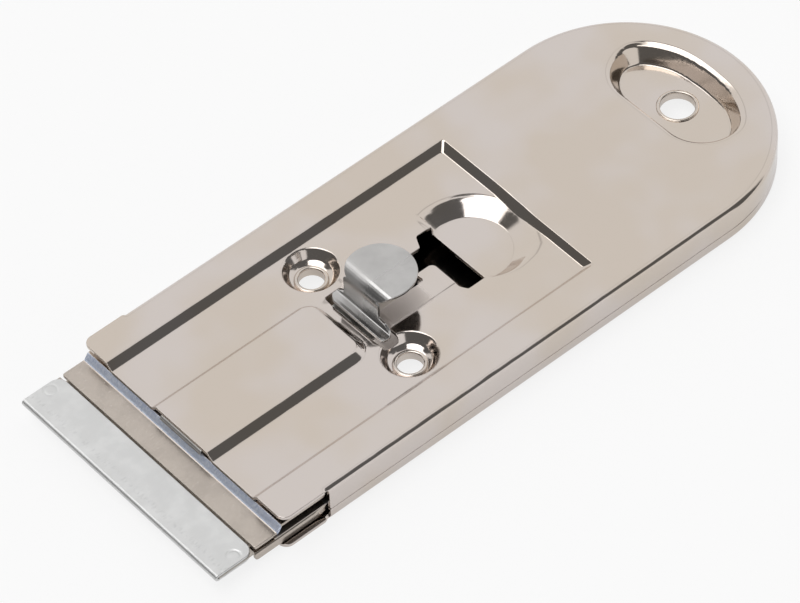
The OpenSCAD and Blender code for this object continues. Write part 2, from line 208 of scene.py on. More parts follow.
class Shader(NodeTree):
    """The node tree of a material or of the world."""

    def __init__(self, owner: bpy.types.Material | bpy.types.World) -> None:
        """Empties the owner's tree.

        Args:
            owner: The material or world that the tree belongs to.
        """
        owner.use_nodes = True
        super().__init__(owner.node_tree)
        self.tree.nodes.clear()

    def axes(self, vector: bpy.types.NodeSocket) -> tuple[Value, Value, Value]:
        """The three parts of a vector."""
        split = self.node("ShaderNodeSeparateXYZ", None, {0: vector})
        return tuple(Value(self, socket) for socket in split.outputs)

    def position(self, stretch: Triple = (1.0, 1.0, 1.0)) -> bpy.types.NodeSocket:
        """Object coordinates in millimetres, stretched along each axis.

        Args:
            stretch: Factor along each axis.

        Returns:
            The socket of the coordinates.
        """
        place = self.node("ShaderNodeTexCoord").outputs["Object"]
        scale = [s / MM for s in stretch]
        return self.node("ShaderNodeMapping", None, {"Vector": place, "Scale": scale}).outputs[0]

    def on_tool(self) -> tuple[Value, Value, Value]:
        """X, Y and Z in the tool frame."""
        x, y, z = self.axes(self.position())
        return x - TOOL.front_x / MM, y, z

    def noise(self, pattern: Noise) -> Value:
        """Noise of about 0 to 1."""
        return self.value("ShaderNodeTexNoise", None, {
            "Vector": self.position(pattern.stretch), "Scale": pattern.scale, "Detail": pattern.detail})

    def blend(self, share: Value, first: object, second: object) -> bpy.types.NodeSocket:
        """A colour between first and second."""
        node = self.node("ShaderNodeMix", {"data_type": "RGBA"}, {0: share, 6: first, 7: second})
        return node.outputs[2]

    def bump(self, height: Value, distance: float = 1.0) -> bpy.types.NodeSocket:
        """A normal tilted by a height, which is worth a distance in millimetres."""
        return self.node("ShaderNodeBump", None, {"Height": height, "Distance": distance * MM}).outputs[0]

    def principled(self, inputs: dict) -> bpy.types.NodeSocket:
        """The surface of a plain or metal material."""
        return self.node("ShaderNodeBsdfPrincipled", None, inputs).outputs[0]

    def close(self, kind: str, surface: bpy.types.NodeSocket) -> None:
        """Ends the tree in an output node."""
        self.node(kind, None, {"Surface": surface})


def rgba(red: float, green: float, blue: float) -> Rgba:
    """A colour with full alpha."""
    return (red, green, blue, 1.0)


def shade(color: Rgba, factor: float) -> Rgba:
    """A colour made darker or paler by a factor."""
    return rgba(*(min(1.0, part * factor) for part in color[:3]))


# Finishes

@dataclass(frozen=True)
class Finish:
    """A metal finish. Subclasses add what changes over the surface."""

    name: str
    slot: str
    color: Rgba
    roughness: float = 0.2

    def material(self) -> bpy.types.Material:
        """Builds the material, or returns it if it is there already.

        Returns:
            The material.
        """
        found = bpy.data.materials.get(self.name)
        if found is not None:
            return found
        made = bpy.data.materials.new(self.name)
        shader = Shader(made)
        plain = {"Base Color": self.color, "Metallic": 1.0, "Roughness": self.roughness}
        shader.close("ShaderNodeOutputMaterial", shader.principled(plain | self.dress(shader)))
        return made

    def dress(self, shader: Shader) -> dict[str, object]:
        """Makes what changes over the surface.

        Args:
            shader: The material's tree.

        Returns:
            Sockets and values by the input that they feed.
        """
        return {}


@dataclass(frozen=True)
class NickelPlate(Finish):
    """Bright nickel on pressed sheet, with slow clouds of tint, faint rolling lines and a worn patch."""

    warm: Rgba = rgba(0.64, 0.565, 0.495)
    tint_edges: tuple[float, float] = (0.38, 0.66)
    cloud: Noise = Noise(0.075)
    grain: Noise = Noise(1.0, 3.0, (0.35, 4.0, 4.0))
    fine: Noise = Noise(1.6, 3.0)
    swell: Noise = Noise(0.16, 1.0)
    wave: float = 0.12
    grain_edges: tuple[float, float] = (0.45, 0.8)
    grain_depth: float = 0.0025
    fine_depth: float = 0.0012
    gloss_spread: float = 0.05
    worn: tuple[float, float, float, float] | None = None
    worn_fade: tuple[float, float, float, float] = (1.0, 1.0, 0.3, 1.0)
    worn_gloss: float = 0.42

    def dress(self, shader: Shader) -> dict[str, object]:
        """Clouds the tint and the gloss, and waves the sheet a little.

        Args:
            shader: The material's tree.

        Returns:
            Inputs of the shader that differ from the plain finish.
        """
        cloud, grain = shader.noise(self.cloud), shader.noise(self.grain)
        gloss = self.roughness + self.gloss_spread * (cloud + grain.band(*self.grain_edges))
        if self.worn:
            x, y, _ = shader.on_tool()
            (x0, x1, y0, y1), (front, rear, right, left) = self.worn, self.worn_fade
            along = x.band(x0 - front, x0) * x.band(x1 + rear, x1)
            patch = along * y.band(y0 - right, y0) * y.band(y1 + left, y1)
            gloss = gloss + self.worn_gloss * patch
        height = self.wave * shader.noise(self.swell)
        height = height + self.grain_depth * grain + self.fine_depth * shader.noise(self.fine)
        tint = shader.blend(cloud.band(*self.tint_edges), self.color, self.warm)
        return {"Base Color": tint, "Roughness": gloss, "Normal": shader.bump(height)}


@dataclass(frozen=True)
class SatinSteel(Finish):
    """Cool satin spring steel with a short soft grain, duller beyond a line where it has one."""

    grain: Noise = Noise(1.6, 3.0, (0.7, 5.0, 5.0))
    grain_gloss: float = 0.10
    grain_depth: float = 0.006
    cloud: Noise = Noise(0.35)
    cloud_edges: tuple[float, float] = (0.35, 0.7)
    cloud_share: float = 0.6
    darker: float = 0.82
    dull_beyond: float | None = None
    dull_gloss: float = 0.22
    dull_run: float = 3.0

    def dress(self, shader: Shader) -> dict[str, object]:
        """Adds a soft grain and slightly darker rubbed clouds.

        Args:
            shader: The material's tree.

        Returns:
            Inputs of the shader that differ from the plain finish.
        """
        grain, cloud = shader.noise(self.grain), shader.noise(self.cloud)
        gloss = self.roughness + self.grain_gloss * grain
        if self.dull_beyond is not None:
            _, y, _ = shader.on_tool()
            gloss = gloss + self.dull_gloss * y.band(self.dull_beyond - self.dull_run, self.dull_beyond)
        share = cloud.band(*self.cloud_edges) * self.cloud_share
        tint = shader.blend(share, self.color, shade(self.color, self.darker))
        return {"Base Color": tint, "Roughness": gloss, "Normal": shader.bump(grain, self.grain_depth)}


@dataclass(frozen=True)
class CarrierPlate(Finish):
    """Plated carrier sheet, blue-grey and scratched where its joggle rubs on the shell."""

    rubbed: Rgba = rgba(0.58, 0.64, 0.77)
    scratched: Rgba = rgba(0.9, 0.92, 0.97)
    joggle_front: tuple[float, float] = (-0.61, -0.51)
    joggle_rear: tuple[float, float] = (0.24, 0.14)
    joggle_foot: tuple[float, float] = (2.75, 2.9)
    scratches: Noise = Noise(1.3, 4.0, (2.0, 9.0, 2.0))
    scratch_edges: tuple[float, float] = (0.46, 0.56)
    scratch_share: float = 0.6
    cloud: Noise = Noise(0.3)
    cloud_edges: tuple[float, float] = (0.35, 0.7)
    darker: float = 0.9
    lines: Noise = Noise(2.0, 2.0, (0.3, 6.0, 6.0))
    rubbed_gloss: float = 0.42
    scratch_gloss: float = 0.08
    scratch_height: float = 0.8
    depth: float = 0.008

    def dress(self, shader: Shader) -> dict[str, object]:
        """Paints the rubbed band along the joggle and scatters scratches on it.

        Args:
            shader: The material's tree.

        Returns:
            Inputs of the shader that differ from the plain finish.
        """
        x, _, z = shader.on_tool()
        band = x.band(*self.joggle_front) * x.band(*self.joggle_rear) * z.band(*self.joggle_foot)
        scratches = shader.noise(self.scratches)
        share = scratches.band(*self.scratch_edges) * self.scratch_share
        slope = shader.blend(share, self.rubbed, self.scratched)
        cloud = shader.noise(self.cloud).band(*self.cloud_edges)
        sheet = shader.blend(cloud, self.color, shade(self.color, self.darker))
        gloss = self.roughness + self.rubbed_gloss * band + self.scratch_gloss * scratches
        height = shader.noise(self.lines) + self.scratch_height * scratches * band
        return {"Base Color": shader.blend(band, sheet, slope), "Roughness": gloss,
                "Normal": shader.bump(height, self.depth)}


@dataclass(frozen=True)
class RolledAluminium(Finish):
    """Matt rolled aluminium with light handling scuffs and a row of short dark marks beside its fold."""

    lines: Noise = Noise(1.2, 3.0, (0.5, 7.0, 1.0))
    line_gloss: float = 0.16
    scuff: Noise = Noise(0.5, 6.0)
    scuff_edges: tuple[float, float] = (0.35, 0.75)
    scuff_share: float = 0.7
    paler: float = 1.13
    marks: Noise = Noise(1.1, 4.0, (1.2, 3.0, 1.0))
    mark_edges: tuple[float, float] = (0.48, 0.70)
    marks_front: tuple[float, float] = (-9.5, -9.0)
    marks_rear: tuple[float, float] = (-8.1, -9.0)
    mark_share: float = 0.5
    darker: float = 0.74
    height: float = 0.6
    depth: float = 0.010

    def dress(self, shader: Shader) -> dict[str, object]:
        """Adds cross lines, pale scuffs and the row of marks.

        Args:
            shader: The material's tree.

        Returns:
            Inputs of the shader that differ from the plain finish.
        """
        lines, scuff = shader.noise(self.lines), shader.noise(self.scuff)
        x, _, _ = shader.on_tool()
        row = x.band(*self.marks_front) * x.band(*self.marks_rear)
        marks = row * shader.noise(self.marks).band(*self.mark_edges)
        share = scuff.band(*self.scuff_edges) * self.scuff_share
        sheet = shader.blend(share, self.color, shade(self.color, self.paler))
        tint = shader.blend(marks * self.mark_share, sheet, shade(self.color, self.darker))
        return {"Base Color": tint, "Roughness": self.roughness + self.line_gloss * lines,
                "Normal": shader.bump(self.height * (lines + scuff), self.depth)}


@dataclass(frozen=True)
class BladeStrip(Finish):
    """Hardened steel strip, ground bright towards its edge."""

    ground: Rgba = rgba(0.66, 0.66, 0.66)
    ground_edges: tuple[float, float] = (6.9, 7.0)
    lines: Noise = Noise(2.2, 3.0, (0.6, 9.0, 1.0))
    line_gloss: float = 0.16
    depth: float = 0.006

    def dress(self, shader: Shader) -> dict[str, object]:
        """Brightens the ground bevel and adds its cross lines.

        Args:
            shader: The material's tree.

        Returns:
            Inputs of the shader that differ from the plain finish.
        """
        x, _, _ = shader.on_tool()
        lines = shader.noise(self.lines)
        ground = x.band(*self.ground_edges)
        return {"Base Color": shader.blend(ground, self.color, self.ground),
                "Roughness": self.roughness + self.line_gloss * lines,
                "Normal": shader.bump(lines, self.depth)}


NICKEL = NickelPlate("bright_nickel_plate", "nickel_shell", rgba(0.665, 0.605, 0.57), 0.07,
                     worn=(30.5, 37.0, -4.4, 4.5))
EYELET_NICKEL = NickelPlate("bright_nickel_rivet", "nickel_eyelet", rgba(0.66, 0.60, 0.55), 0.10, wave=0.02)
CARRIER = CarrierPlate("plated_carrier_sheet", "carrier_steel", rgba(0.56, 0.50, 0.445), 0.22)
LEAF = SatinSteel("spring_leaf_satin", "leaf_steel", rgba(0.60, 0.585, 0.56), 0.24)
TAB = SatinSteel("tab_satin", "tab_steel", rgba(0.55, 0.54, 0.53), 0.17, dull_beyond=1.5)
BLADE = BladeStrip("ground_blade_strip", "blade_steel", rgba(0.47, 0.43, 0.39), 0.28)
SPINE = RolledAluminium("rolled_aluminium", "spine_aluminium", rgba(0.665, 0.665, 0.66), 0.34)


# Objects

def add_object(name: str, mesh: bpy.types.ID) -> bpy.types.Object:
    """Makes an object of a mesh or camera and links it to the scene.

    Args:
        name: Name of the object.
        mesh: The mesh or camera that it shows.

    Returns:
        The object.
    """
    made = bpy.data.objects.new(name, mesh)
    bpy.context.scene.collection.objects.link(made)
    return made


def settle(made: bpy.types.Object, finish: Finish, body: Body,
           replaced: Sequence[str] = ()) -> bpy.types.Object:
    """Puts a piece on its body and hides the nodes that it stands for.

    Args:
        made: The piece.
        finish: The piece's finish. It is not used.
        body: The body it rides on.
        replaced: The nodes that it stands for.

    Returns:
        The piece.
    """
    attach(made, body.value)
    if replaced:
        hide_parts(*replaced)
    log.info("%s: %d faces on %s", made.name, len(made.data.polygons), body.value)
    return made


# Plan shapes

SAME_POINT = 1e-7  # points closer than this are one
TINY = 1e-12  # keeps a row of zeros from being divided by 0


def rise_from(t: np.ndarray, soft: float) -> np.ndarray:
    """0 below 0 and t above it, with a rounded corner of half width soft."""
    return np.where(np.abs(t) < soft, (t + soft) ** 2 / (4 * soft), np.maximum(t, 0))


def clip_ramp(t: np.ndarray, soft: float) -> np.ndarray:
    """0 below 0, t between and 1 above 1, with rounded corners of half width soft."""
    return rise_from(t, soft) - rise_from(t - 1, soft)


def unit_rows(vectors: np.ndarray) -> np.ndarray:
    """Each row at a length of 1."""
    return vectors / np.maximum(np.linalg.norm(vectors, axis=1), TINY)[:, None]


def shouldered(w: np.ndarray, depth: float, steep: float, wide: float | np.ndarray,
               drop: float | np.ndarray, foot: float, rim: float, knee: float = 0.10) -> np.ndarray:
    """Rise from the foot of a recess: a steep wall, then a gentle shoulder up to the rim.

    Args:
        w: Distance out from the foot in millimetres.
        depth: The whole rise.
        steep: Width of the steep wall.
        wide: Width of the shoulder.
        drop: Rise of the shoulder.
        foot: Half width of the rounding at the foot.
        rim: Half width of the rounding at the rim.
        knee: Half width of the rounding between wall and shoulder.

    Returns:
        The rise, from 0 to depth.
    """
    break_at = rise_from(w - steep, knee)
    wall = (depth - drop) / steep * (rise_from(w, foot) - break_at)
    return wall + drop / wide * (break_at - rise_from(w - steep - wide, rim))


def soft_max(a: np.ndarray, b: np.ndarray, soft: float) -> np.ndarray:
    """The larger of two values, rounded where they are within soft of each other."""
    h = np.maximum(soft - np.abs(a - b), 0) / soft
    return np.maximum(a, b) + h * h * soft / 4


def arc(center: Sequence[float], radius: float, start: float, end: float, steps: int) -> np.ndarray:
    """Points on an arc between two angles in degrees."""
    angles = np.radians(np.linspace(start, end, steps + 1))
    return np.stack([center[0] + radius * np.cos(angles), center[1] + radius * np.sin(angles)], 1)


def full_circle(center: Sequence[float], radius: float, count: int) -> np.ndarray:
    """A closed outline of count points on a circle."""
    return arc(center, radius, 0, 360 - 360 / count, count - 1)


def rounded_outline(corners: Sequence[Triple], steps: int = 8) -> np.ndarray:
    """A closed outline with each corner rounded by its own radius.

    Args:
        corners: x, y and radius of each corner, in order round the shape.
        steps: Points on each rounded corner.

    Returns:
        Array of shape (n, 2).
    """
    points = []
    for i, (x, y, r) in enumerate(corners):
        here = np.array([x, y], float)
        if r <= 0:
            points.append(here)
            continue
        before = np.array(corners[i - 1][:2], float) - here
        after = np.array(corners[(i + 1) % len(corners)][:2], float) - here
        before /= np.linalg.norm(before)
        after /= np.linalg.norm(after)
        half = math.acos(float(np.clip(before @ after, -1, 1))) / 2
        reach = r / math.tan(half)
        middle = (before + after) / np.linalg.norm(before + after) * (r / math.sin(half)) + here
        a, b = here + before * reach - middle, here + after * reach - middle
        turn = math.atan2(a[0] * b[1] - a[1] * b[0], float(a @ b))
        base = math.atan2(a[1], a[0])
        for k in range(steps + 1):
            angle = base + turn * k / steps
            points.append(middle + r * np.array([math.cos(angle), math.sin(angle)]))
    return np.array(points)


def resample(loop: np.ndarray, spacing: float) -> np.ndarray:
    """Divides a closed outline evenly between its points.

    Args:
        loop: The outline.
        spacing: The furthest that two points may lie apart.

    Returns:
        Array of shape (n, 2).
    """
    points = []
    for a, b in zip(loop, np.roll(loop, -1, axis=0)):
        length = float(np.linalg.norm(b - a))
        if length < SAME_POINT:
            continue
        steps = max(1, math.ceil(length / spacing))
        points.extend(a + (b - a) * k / steps for k in range(steps))
    return np.array(points)


def signed_area(loop: np.ndarray) -> float:
    """Area of an outline, above 0 where it runs anticlockwise."""
    after = np.roll(loop, -1, axis=0)
    return float((loop[:, 0] * after[:, 1] - loop[:, 1] * after[:, 0]).sum() / 2)


def within(points: np.ndarray, loop: np.ndarray) -> np.ndarray:
    """Finds which points lie inside an outline.

    Args:
        points: Array of shape (n, 2).
        loop: The outline.

    Returns:
        Array of n booleans.
    """
    inside = np.zeros(len(points), bool)
    low, high = loop.min(0), loop.max(0)
    near = np.nonzero(((points >= low) & (points <= high)).all(1))[0]
    x, y = points[near, 0], points[near, 1]
    hit = np.zeros(len(near), bool)
    for a, b in zip(loop, np.roll(loop, -1, axis=0)):
        if a[1] == b[1]:
            continue
        crosses = (a[1] > y) != (b[1] > y)
        hit ^= crosses & (x < (b[0] - a[0]) * (y - a[1]) / (b[1] - a[1]) + a[0])
    inside[near] = hit
    return inside


def on_sheet(points: np.ndarray, outlines: list[np.ndarray]) -> np.ndarray:
    """Which points lie inside the first outline and outside all the others.

    Args:
        points: Points of the blank.
        outlines: The outline, then the cut-outs.

    Returns:
        Whether each point lies on the sheet.
    """
    inside = within(points, outlines[0])
    for hole in outlines[1:]:
        inside &= ~within(points, hole)
    return inside


def mirrored(corners: Sequence[Triple]) -> list[Triple]:
    """Corners of one side, then the same of the other side in the opposite order."""
    return [*corners, *((x, -y, r) for x, y, r in reversed(corners))]


# Pressed and folded sheets

NORMAL_STEP = 0.008  # step on the blank that gives a normal
CHORD_STEP = 0.06  # the same on a bent strip, whose line has short chords
RIM_STEP = 0.02  # step over a rim that gives its outward direction
RIM_ANGLES = (30, 60, 90)  # how a rounded edge turns, in degrees
GRID = 1e-4  # inner points are rounded to this
BORDER_GAP = 0.05  # inner points keep this far from an outline's points
SHARPEST = 0.35  # keeps the inset short at a sharp corner
MOST_ROUND = 0.48  # share of the thickness that a rounded edge may take
JOIN = 1e-5  # flat points closer than this are joined
SAMPLE = 7  # one rim face in so many is looked at
WELD = 1e-7  # metres within which the points of a swept ring are merged


@dataclass
class Sheet:
    """A piece of sheet given by a flat blank and a map from the blank to space.

    The mesh has a face, a back that follows it at the sheet's thickness, and rims with rounded edges along
    every outline and cut-out. Its points gather where the sheet bends: a cell is split while its normals
    differ by more than most_bend or it strays by more than most_off.
    """

    name: str
    body: Body
    finish: Finish
    thickness: float = 0.5
    edge: float = 0.09
    cell: float = 1.2
    levels: int = 3
    most_bend: float = 0.06
    most_off: float = 0.012
    spacing: float = 0.22
    replaced: tuple[str, ...] = ()

    def blank(self) -> list[np.ndarray]:
        """The blank's outline first, then its cut-outs."""
        raise NotImplementedError

    def surface(self, flat: np.ndarray) -> np.ndarray:
        """Bends the blank into its form.

        Args:
            flat: Points of the blank, of shape (n, 2).

        Returns:
            The same points in space, of shape (n, 3).
        """
        raise NotImplementedError

    def back_offset(self, flat: np.ndarray, normals: np.ndarray) -> np.ndarray:
        """Gives the sheet its thickness.

        Args:
            flat: Points of the blank.
            normals: Normals of the face there.

        Returns:
            From each point of the face to the back.
        """
        return -self.thickness * normals

    def normals(self, flat: np.ndarray) -> np.ndarray:
        """Unit normals of the face, from small steps on the blank.

        Args:
            flat: Points of the blank.

        Returns:
            A unit normal at each point.
        """
        along, across = (self.surface(flat + step) - self.surface(flat - step)
                         for step in ([NORMAL_STEP, 0], [0, NORMAL_STEP]))
        return unit_rows(np.cross(along, across))

    def _gather(self, outline: np.ndarray) -> np.ndarray:
        """Makes corners of square cells over the blank, split where the sheet bends.

        Args:
            outline: The blank's outline.

        Returns:
            Array of shape (n, 2).
        """
        low, high = outline.min(0) - RIM_STEP / 2, outline.max(0) + RIM_STEP / 2
        size = self.cell
        nx, ny = (np.ceil((high - low) / size)).astype(int)
        grid = np.stack(np.meshgrid(np.arange(nx), np.arange(ny), indexing="ij"), -1).reshape(-1, 2)
        cells, kept = low + grid * size, []
        corner = np.array([[0, 0], [1, 0], [0, 1], [1, 1]], float)
        for level in range(self.levels + 1):
            middle = cells + size / 2
            p0, n0 = self.surface(middle), self.normals(middle)
            bend, off = np.zeros((2, len(cells)))
            for c in corner:
                q = cells + c * size
                bend = np.maximum(bend, np.linalg.norm(self.normals(q) - n0, axis=1))
                off = np.maximum(off, np.abs(((self.surface(q) - p0) * n0).sum(1)))
            split = ((bend > self.most_bend) | (off > self.most_off)) & (level < self.levels)
            kept.append((cells[~split][:, None, :] + corner * size).reshape(-1, 2))
            cells = (cells[split][:, None, :] + corner * size / 2).reshape(-1, 2)
            size /= 2
            if not len(cells):
                break
        points = np.concatenate(kept)
        return np.unique(np.round(points / GRID).astype(np.int64), axis=0) * GRID

    def build(self) -> bpy.types.Object:
        """Makes the piece.

        Returns:
            Its object, dressed and on its body.
        """
        loops = []
        for i, loop in enumerate(self.blank()):
            loop = resample(loop, self.spacing)
            loops.append(loop if (signed_area(loop) > 0) == (i == 0) else loop[::-1])
        away = [self._away(loop) for loop in loops]
        insets = [loop - a * self.edge for loop, a in zip(loops, away)]
        points = self._gather(insets[0])
        points = self._clear_of(points[on_sheet(points, insets)], np.concatenate(insets))
        flat, faces, rings = self._triangulate(insets, points)
        return self._solid(flat, faces, rings, insets, away)

    @staticmethod
    def _away(loop: np.ndarray) -> np.ndarray:
        """Finds which way the sheet ends along an outline.

        Args:
            loop: The outline, with the sheet on its left.

        Returns:
            Unit directions in the blank out over the edge, longer at sharp corners.
        """
        before = loop - np.roll(loop, 1, axis=0)
        after = np.roll(loop, -1, axis=0) - loop
        first, second = (unit_rows(d)[:, ::-1] * [1, -1] for d in (before, after))
        return (first + second) / np.maximum(((first + second) * first).sum(1), SHARPEST)[:, None]

    @staticmethod
    def _clear_of(points: np.ndarray, border: np.ndarray) -> np.ndarray:
        """Drops points that lie very close to those of the border.

        Args:
            points: Inner points.
            border: Points of all the outlines.

        Returns:
            The inner points that stay.
        """
        tree = KDTree(len(border))
        for i, (x, y) in enumerate(border):
            tree.insert((x, y, 0), i)
        tree.balance()
        far = [tree.find((x, y, 0))[2] > BORDER_GAP for x, y in points]
        return points[np.array(far, bool)]

    @staticmethod
    def _triangulate(loops: list[np.ndarray],
                     points: np.ndarray) -> tuple[np.ndarray, np.ndarray, list[np.ndarray]]:
        """Joins outlines and inner points into triangles.

        Args:
            loops: The outline and the cut-outs.
            points: Points between them.

        Returns:
            The flat points, the triangles and, for each loop, the indices of its points.
        """
        given, edges, spans = [], [], []
        for loop in loops:
            span = range(len(given), len(given) + len(loop))
            spans.append(span)
            edges.extend(zip(span, [*span[1:], span[0]]))
            given.extend(Vector(p) for p in loop)
        given.extend(Vector(p) for p in points)
        made, _, triangles, origins, *_ = delaunay_2d_cdt(given, edges, [], 0, JOIN, True)
        flat, faces = np.array([tuple(v) for v in made]), np.array(triangles)
        new_of = {old: new for new, olds in enumerate(origins) for old in olds}
        rings = [np.array([new_of[old] for old in span]) for span in spans]
        return flat, faces[on_sheet(flat[faces].mean(1), loops)], rings

    def _solid(self, flat: np.ndarray, faces: np.ndarray, rings: list[np.ndarray],
               loops: list[np.ndarray], away: list[np.ndarray]) -> bpy.types.Object:
        """Gives the triangulated blank its place, back and rims, and makes the object.

        Args:
            flat: Points of the blank.
            faces: Its triangles.
            rings: For each outline, the indices of its points.
            loops: The outlines themselves.
            away: For each outline, the directions out over the edge.

        Returns:
            The finished object.
        """
        place, normal = self.surface(flat), self.normals(flat)
        back = self.back_offset(flat, normal)
        a, b, c = (place[faces[:, i]] for i in range(3))
        wrong = (np.cross(b - a, c - a) * normal[faces[:, 0]]).sum(1) < 0
        faces[wrong] = faces[wrong][:, ::-1]
        count = len(flat)
        vertices, directions = [place, place + back], [normal, -normal]
        polygons = faces.tolist() + (faces[:, ::-1] + count).tolist()
        total = 2 * count
        for ring, loop, out in zip(rings, loops, away):
            n, p, q = normal[ring], place[ring], place[ring] + back[ring]
            depth = np.linalg.norm(back[ring], axis=1)[:, None]
            edge = np.minimum(self.edge, depth * MOST_ROUND)
            over = self.surface(loop + out * RIM_STEP) - self.surface(loop - out * RIM_STEP)
            over = unit_rows(over - (over * n).sum(1)[:, None] * n)
            stretch = np.linalg.norm(out, axis=1)[:, None]
            down = back[ring] / depth
            rows = [ring]
            for base, inward, angles in ((p, down, RIM_ANGLES), (q, -down, RIM_ANGLES[::-1])):
                for angle in np.radians(angles):
                    s, k = math.sin(angle), 1 - math.cos(angle)
                    vertices.append(base + over * edge * s * stretch + inward * edge * k)
                    directions.append(unit_rows(over * s - inward * (1 - k)))
                    rows.append(total + np.arange(len(ring)))
                    total += len(ring)
            rows.append(ring + count)
            for upper, lower in zip(rows, rows[1:]):
                polygons.extend(np.stack([upper, lower, np.roll(lower, -1), np.roll(upper, -1)], 1).tolist())
        points, tilts, skin = np.concatenate(vertices), np.concatenate(directions), 2 * len(faces)
        if self._faces_inwards(points, polygons[skin:], tilts):
            polygons[skin:] = [f[::-1] for f in polygons[skin:]]
        return self._dressed(points, polygons, tilts)

    @staticmethod
    def _faces_inwards(points: np.ndarray, rims: list[list[int]], directions: np.ndarray) -> bool:
        """Judges whether the rims face inwards, on a sample of them.

        Args:
            points: All points.
            rims: The faces of the rims.
            directions: Outward directions of the points.

        Returns:
            Whether most of the sample faces inwards.
        """
        sample = np.array(rims[::SAMPLE])
        a, b, c = (points[sample[:, i]] for i in range(3))
        return float((np.cross(b - a, c - a) * directions[sample[:, 1]]).sum()) < 0

    def _dressed(self, points: np.ndarray, polygons: list, directions: np.ndarray) -> bpy.types.Object:
        """Makes the object, dresses it and puts it on its body.

        Args:
            points: Array of shape (n, 3) in the tool frame.
            polygons: Faces as indices of points.
            directions: Normals of the points.

        Returns:
            The object.
        """
        mesh = bpy.data.meshes.new(self.name)
        mesh.from_pydata(TOOL.place(points).tolist(), [], polygons)
        mesh.polygons.foreach_set("use_smooth", [True] * len(mesh.polygons))
        mesh.materials.append(self.finish.material())
        mesh.update()
        mesh.normals_split_custom_set_from_vertices(directions.tolist())
        return settle(add_object(self.name, mesh), self.finish, self.body, self.replaced)


# Shells

SOFT = 0.3  # usual rounding at a slope's ends, as a share of its run


@dataclass
class ShellSheet(Sheet):
    """What the two shells share: the rounded outline, the side wall and the notches beside the mouth.

    A dimple has a steep wall, then a gentle shoulder that is wider by dimple_lean at its rear.
    """

    width: float = 39.4
    length: float = 94.388
    height: float = 5.8
    corner: float = 0.9
    wall_end: float = 2.02
    notch: float = 7.3
    bend_fade: tuple[float, float] = (0.8, 0.45)
    tongue_corner: float = 1.3
    tongue_inset: float = 0.12
    eyelet_x: float = 29.15
    eyelet_y: float = 9.55
    eyelet_hole: float = 1.96
    hang_x: float = 83.9
    hang_hole: float = 2.59
    dimple_r: float = 2.4
    dimple_steep: float = 0.9
    dimple_wide: float = 0.2
    dimple_lean: float = 0.5
    dimple_slope: float = 0.58
    dimple_rear: tuple[float, float] = (0.63, 0.78)

    @property
    def half(self) -> float:
        """Half of the width inside the rounded edge."""
        return self.width / 2 - self.corner

    @property
    def end_x(self) -> float:
        """Centre of the rounded end."""
        return self.length - self.width / 2

    @property
    def wall(self) -> float:
        """From the deck's border to the wall's lower edge, along the sheet."""
        return self.corner * QUARTER + self.height - self.corner - self.wall_end

    def height_at(self, x: np.ndarray, y: np.ndarray) -> np.ndarray:
        """Presses the deck.

        Args:
            x: Where along the deck.
            y: Where across it.

        Returns:
            The height at each place.
        """
        raise NotImplementedError

    def blank(self) -> list[np.ndarray]:
        """Outline with its tongue and rounded end, then the three round holes.

        Returns:
            The outline, then the holes.
        """
        tongue = self.half + self.corner - self.tongue_inset
        far = self.half + self.wall
        ring = rounded_outline(mirrored([
            (self.end_x, far, 0), (self.notch, far, .25), (self.notch, tongue, .2),
            (0, tongue, self.tongue_corner)]))
        outline = np.concatenate([ring, arc((self.end_x, 0), far, -90, 90, 220)[1:-1]])
        holes = [full_circle((self.eyelet_x, s * self.eyelet_y), self.eyelet_hole, 60) for s in (-1, 1)]
        holes.append(full_circle((self.hang_x, 0), self.hang_hole, 72))
        return [outline, *holes]

    def surface(self, flat: np.ndarray) -> np.ndarray:
        """Bends the border of the blank down into the side wall, which fades out towards the tongue.

        Args:
            flat: Points of the blank.

        Returns:
            The same points in space.
        """
        x, y = flat[:, 0], flat[:, 1]
        back = np.maximum(x - self.end_x, 0)
        reach = np.maximum(np.hypot(back, y), SAME_POINT)
        over = np.maximum(reach - self.half, 0)
        scale = np.where(reach > self.half, self.half / reach, 1.0)
        inner_x, inner_y = np.where(x > self.end_x, self.end_x + back * scale, x), y * scale
        out_x, out_y = back / reach, y / reach
        turn = np.minimum(over / self.corner, QUARTER)
        before, run = self.bend_fade
        bent = clip_ramp((x - self.notch + before) / run, 0.2)
        sideways = bent * self.corner * np.sin(turn) + (1 - bent) * over
        drop = self.corner * (1 - np.cos(turn)) + np.maximum(over - self.corner * QUARTER, 0)
        z = self.height_at(inner_x, inner_y) - bent * drop
        return np.stack([inner_x + out_x * sideways, inner_y + out_y * sideways, z], 1)

    def back_offset(self, flat: np.ndarray, normals: np.ndarray) -> np.ndarray:
        """Goes straight down under the deck, and along the normal behind the wall.

        Args:
            flat: Points of the blank.
            normals: Normals of the face there.

        Returns:
            From each point of the face to the back.
        """
        back = np.maximum(flat[:, 0] - self.end_x, 0)
        over = (np.hypot(back, flat[:, 1]) > self.half) & (flat[:, 0] > self.notch - 0.5)
        down = np.zeros_like(normals)
        down[:, 2] = -self.thickness
        return np.where(over[:, None], -self.thickness * normals, down)

    def dimple(self, x: np.ndarray, y: np.ndarray, center: tuple[float, float], depth: float,
               radius: float) -> np.ndarray:
        """Finds how far a round dimple lowers the deck.

        Args:
            x: Where along the deck.
            y: Where across it.
            center: Middle of the dimple.
            depth: Its depth.
            radius: Radius of its flat floor.

        Returns:
            The depth at each place.
        """
        off_x, off_y = x - center[0], y - center[1]
        reach = np.hypot(off_x, off_y)
        lean = self.dimple_rear[0] * off_x + self.dimple_rear[1] * off_y
        rear = 0.5 + 0.5 * lean / np.maximum(reach, 0.1)
        wide = self.dimple_wide + self.dimple_lean * rear
        inside = radius + self.dimple_steep + wide - reach
        drop = self.dimple_slope * wide
        return shouldered(inside, depth, self.dimple_steep, wide, drop, foot=0.12, rim=0.25)


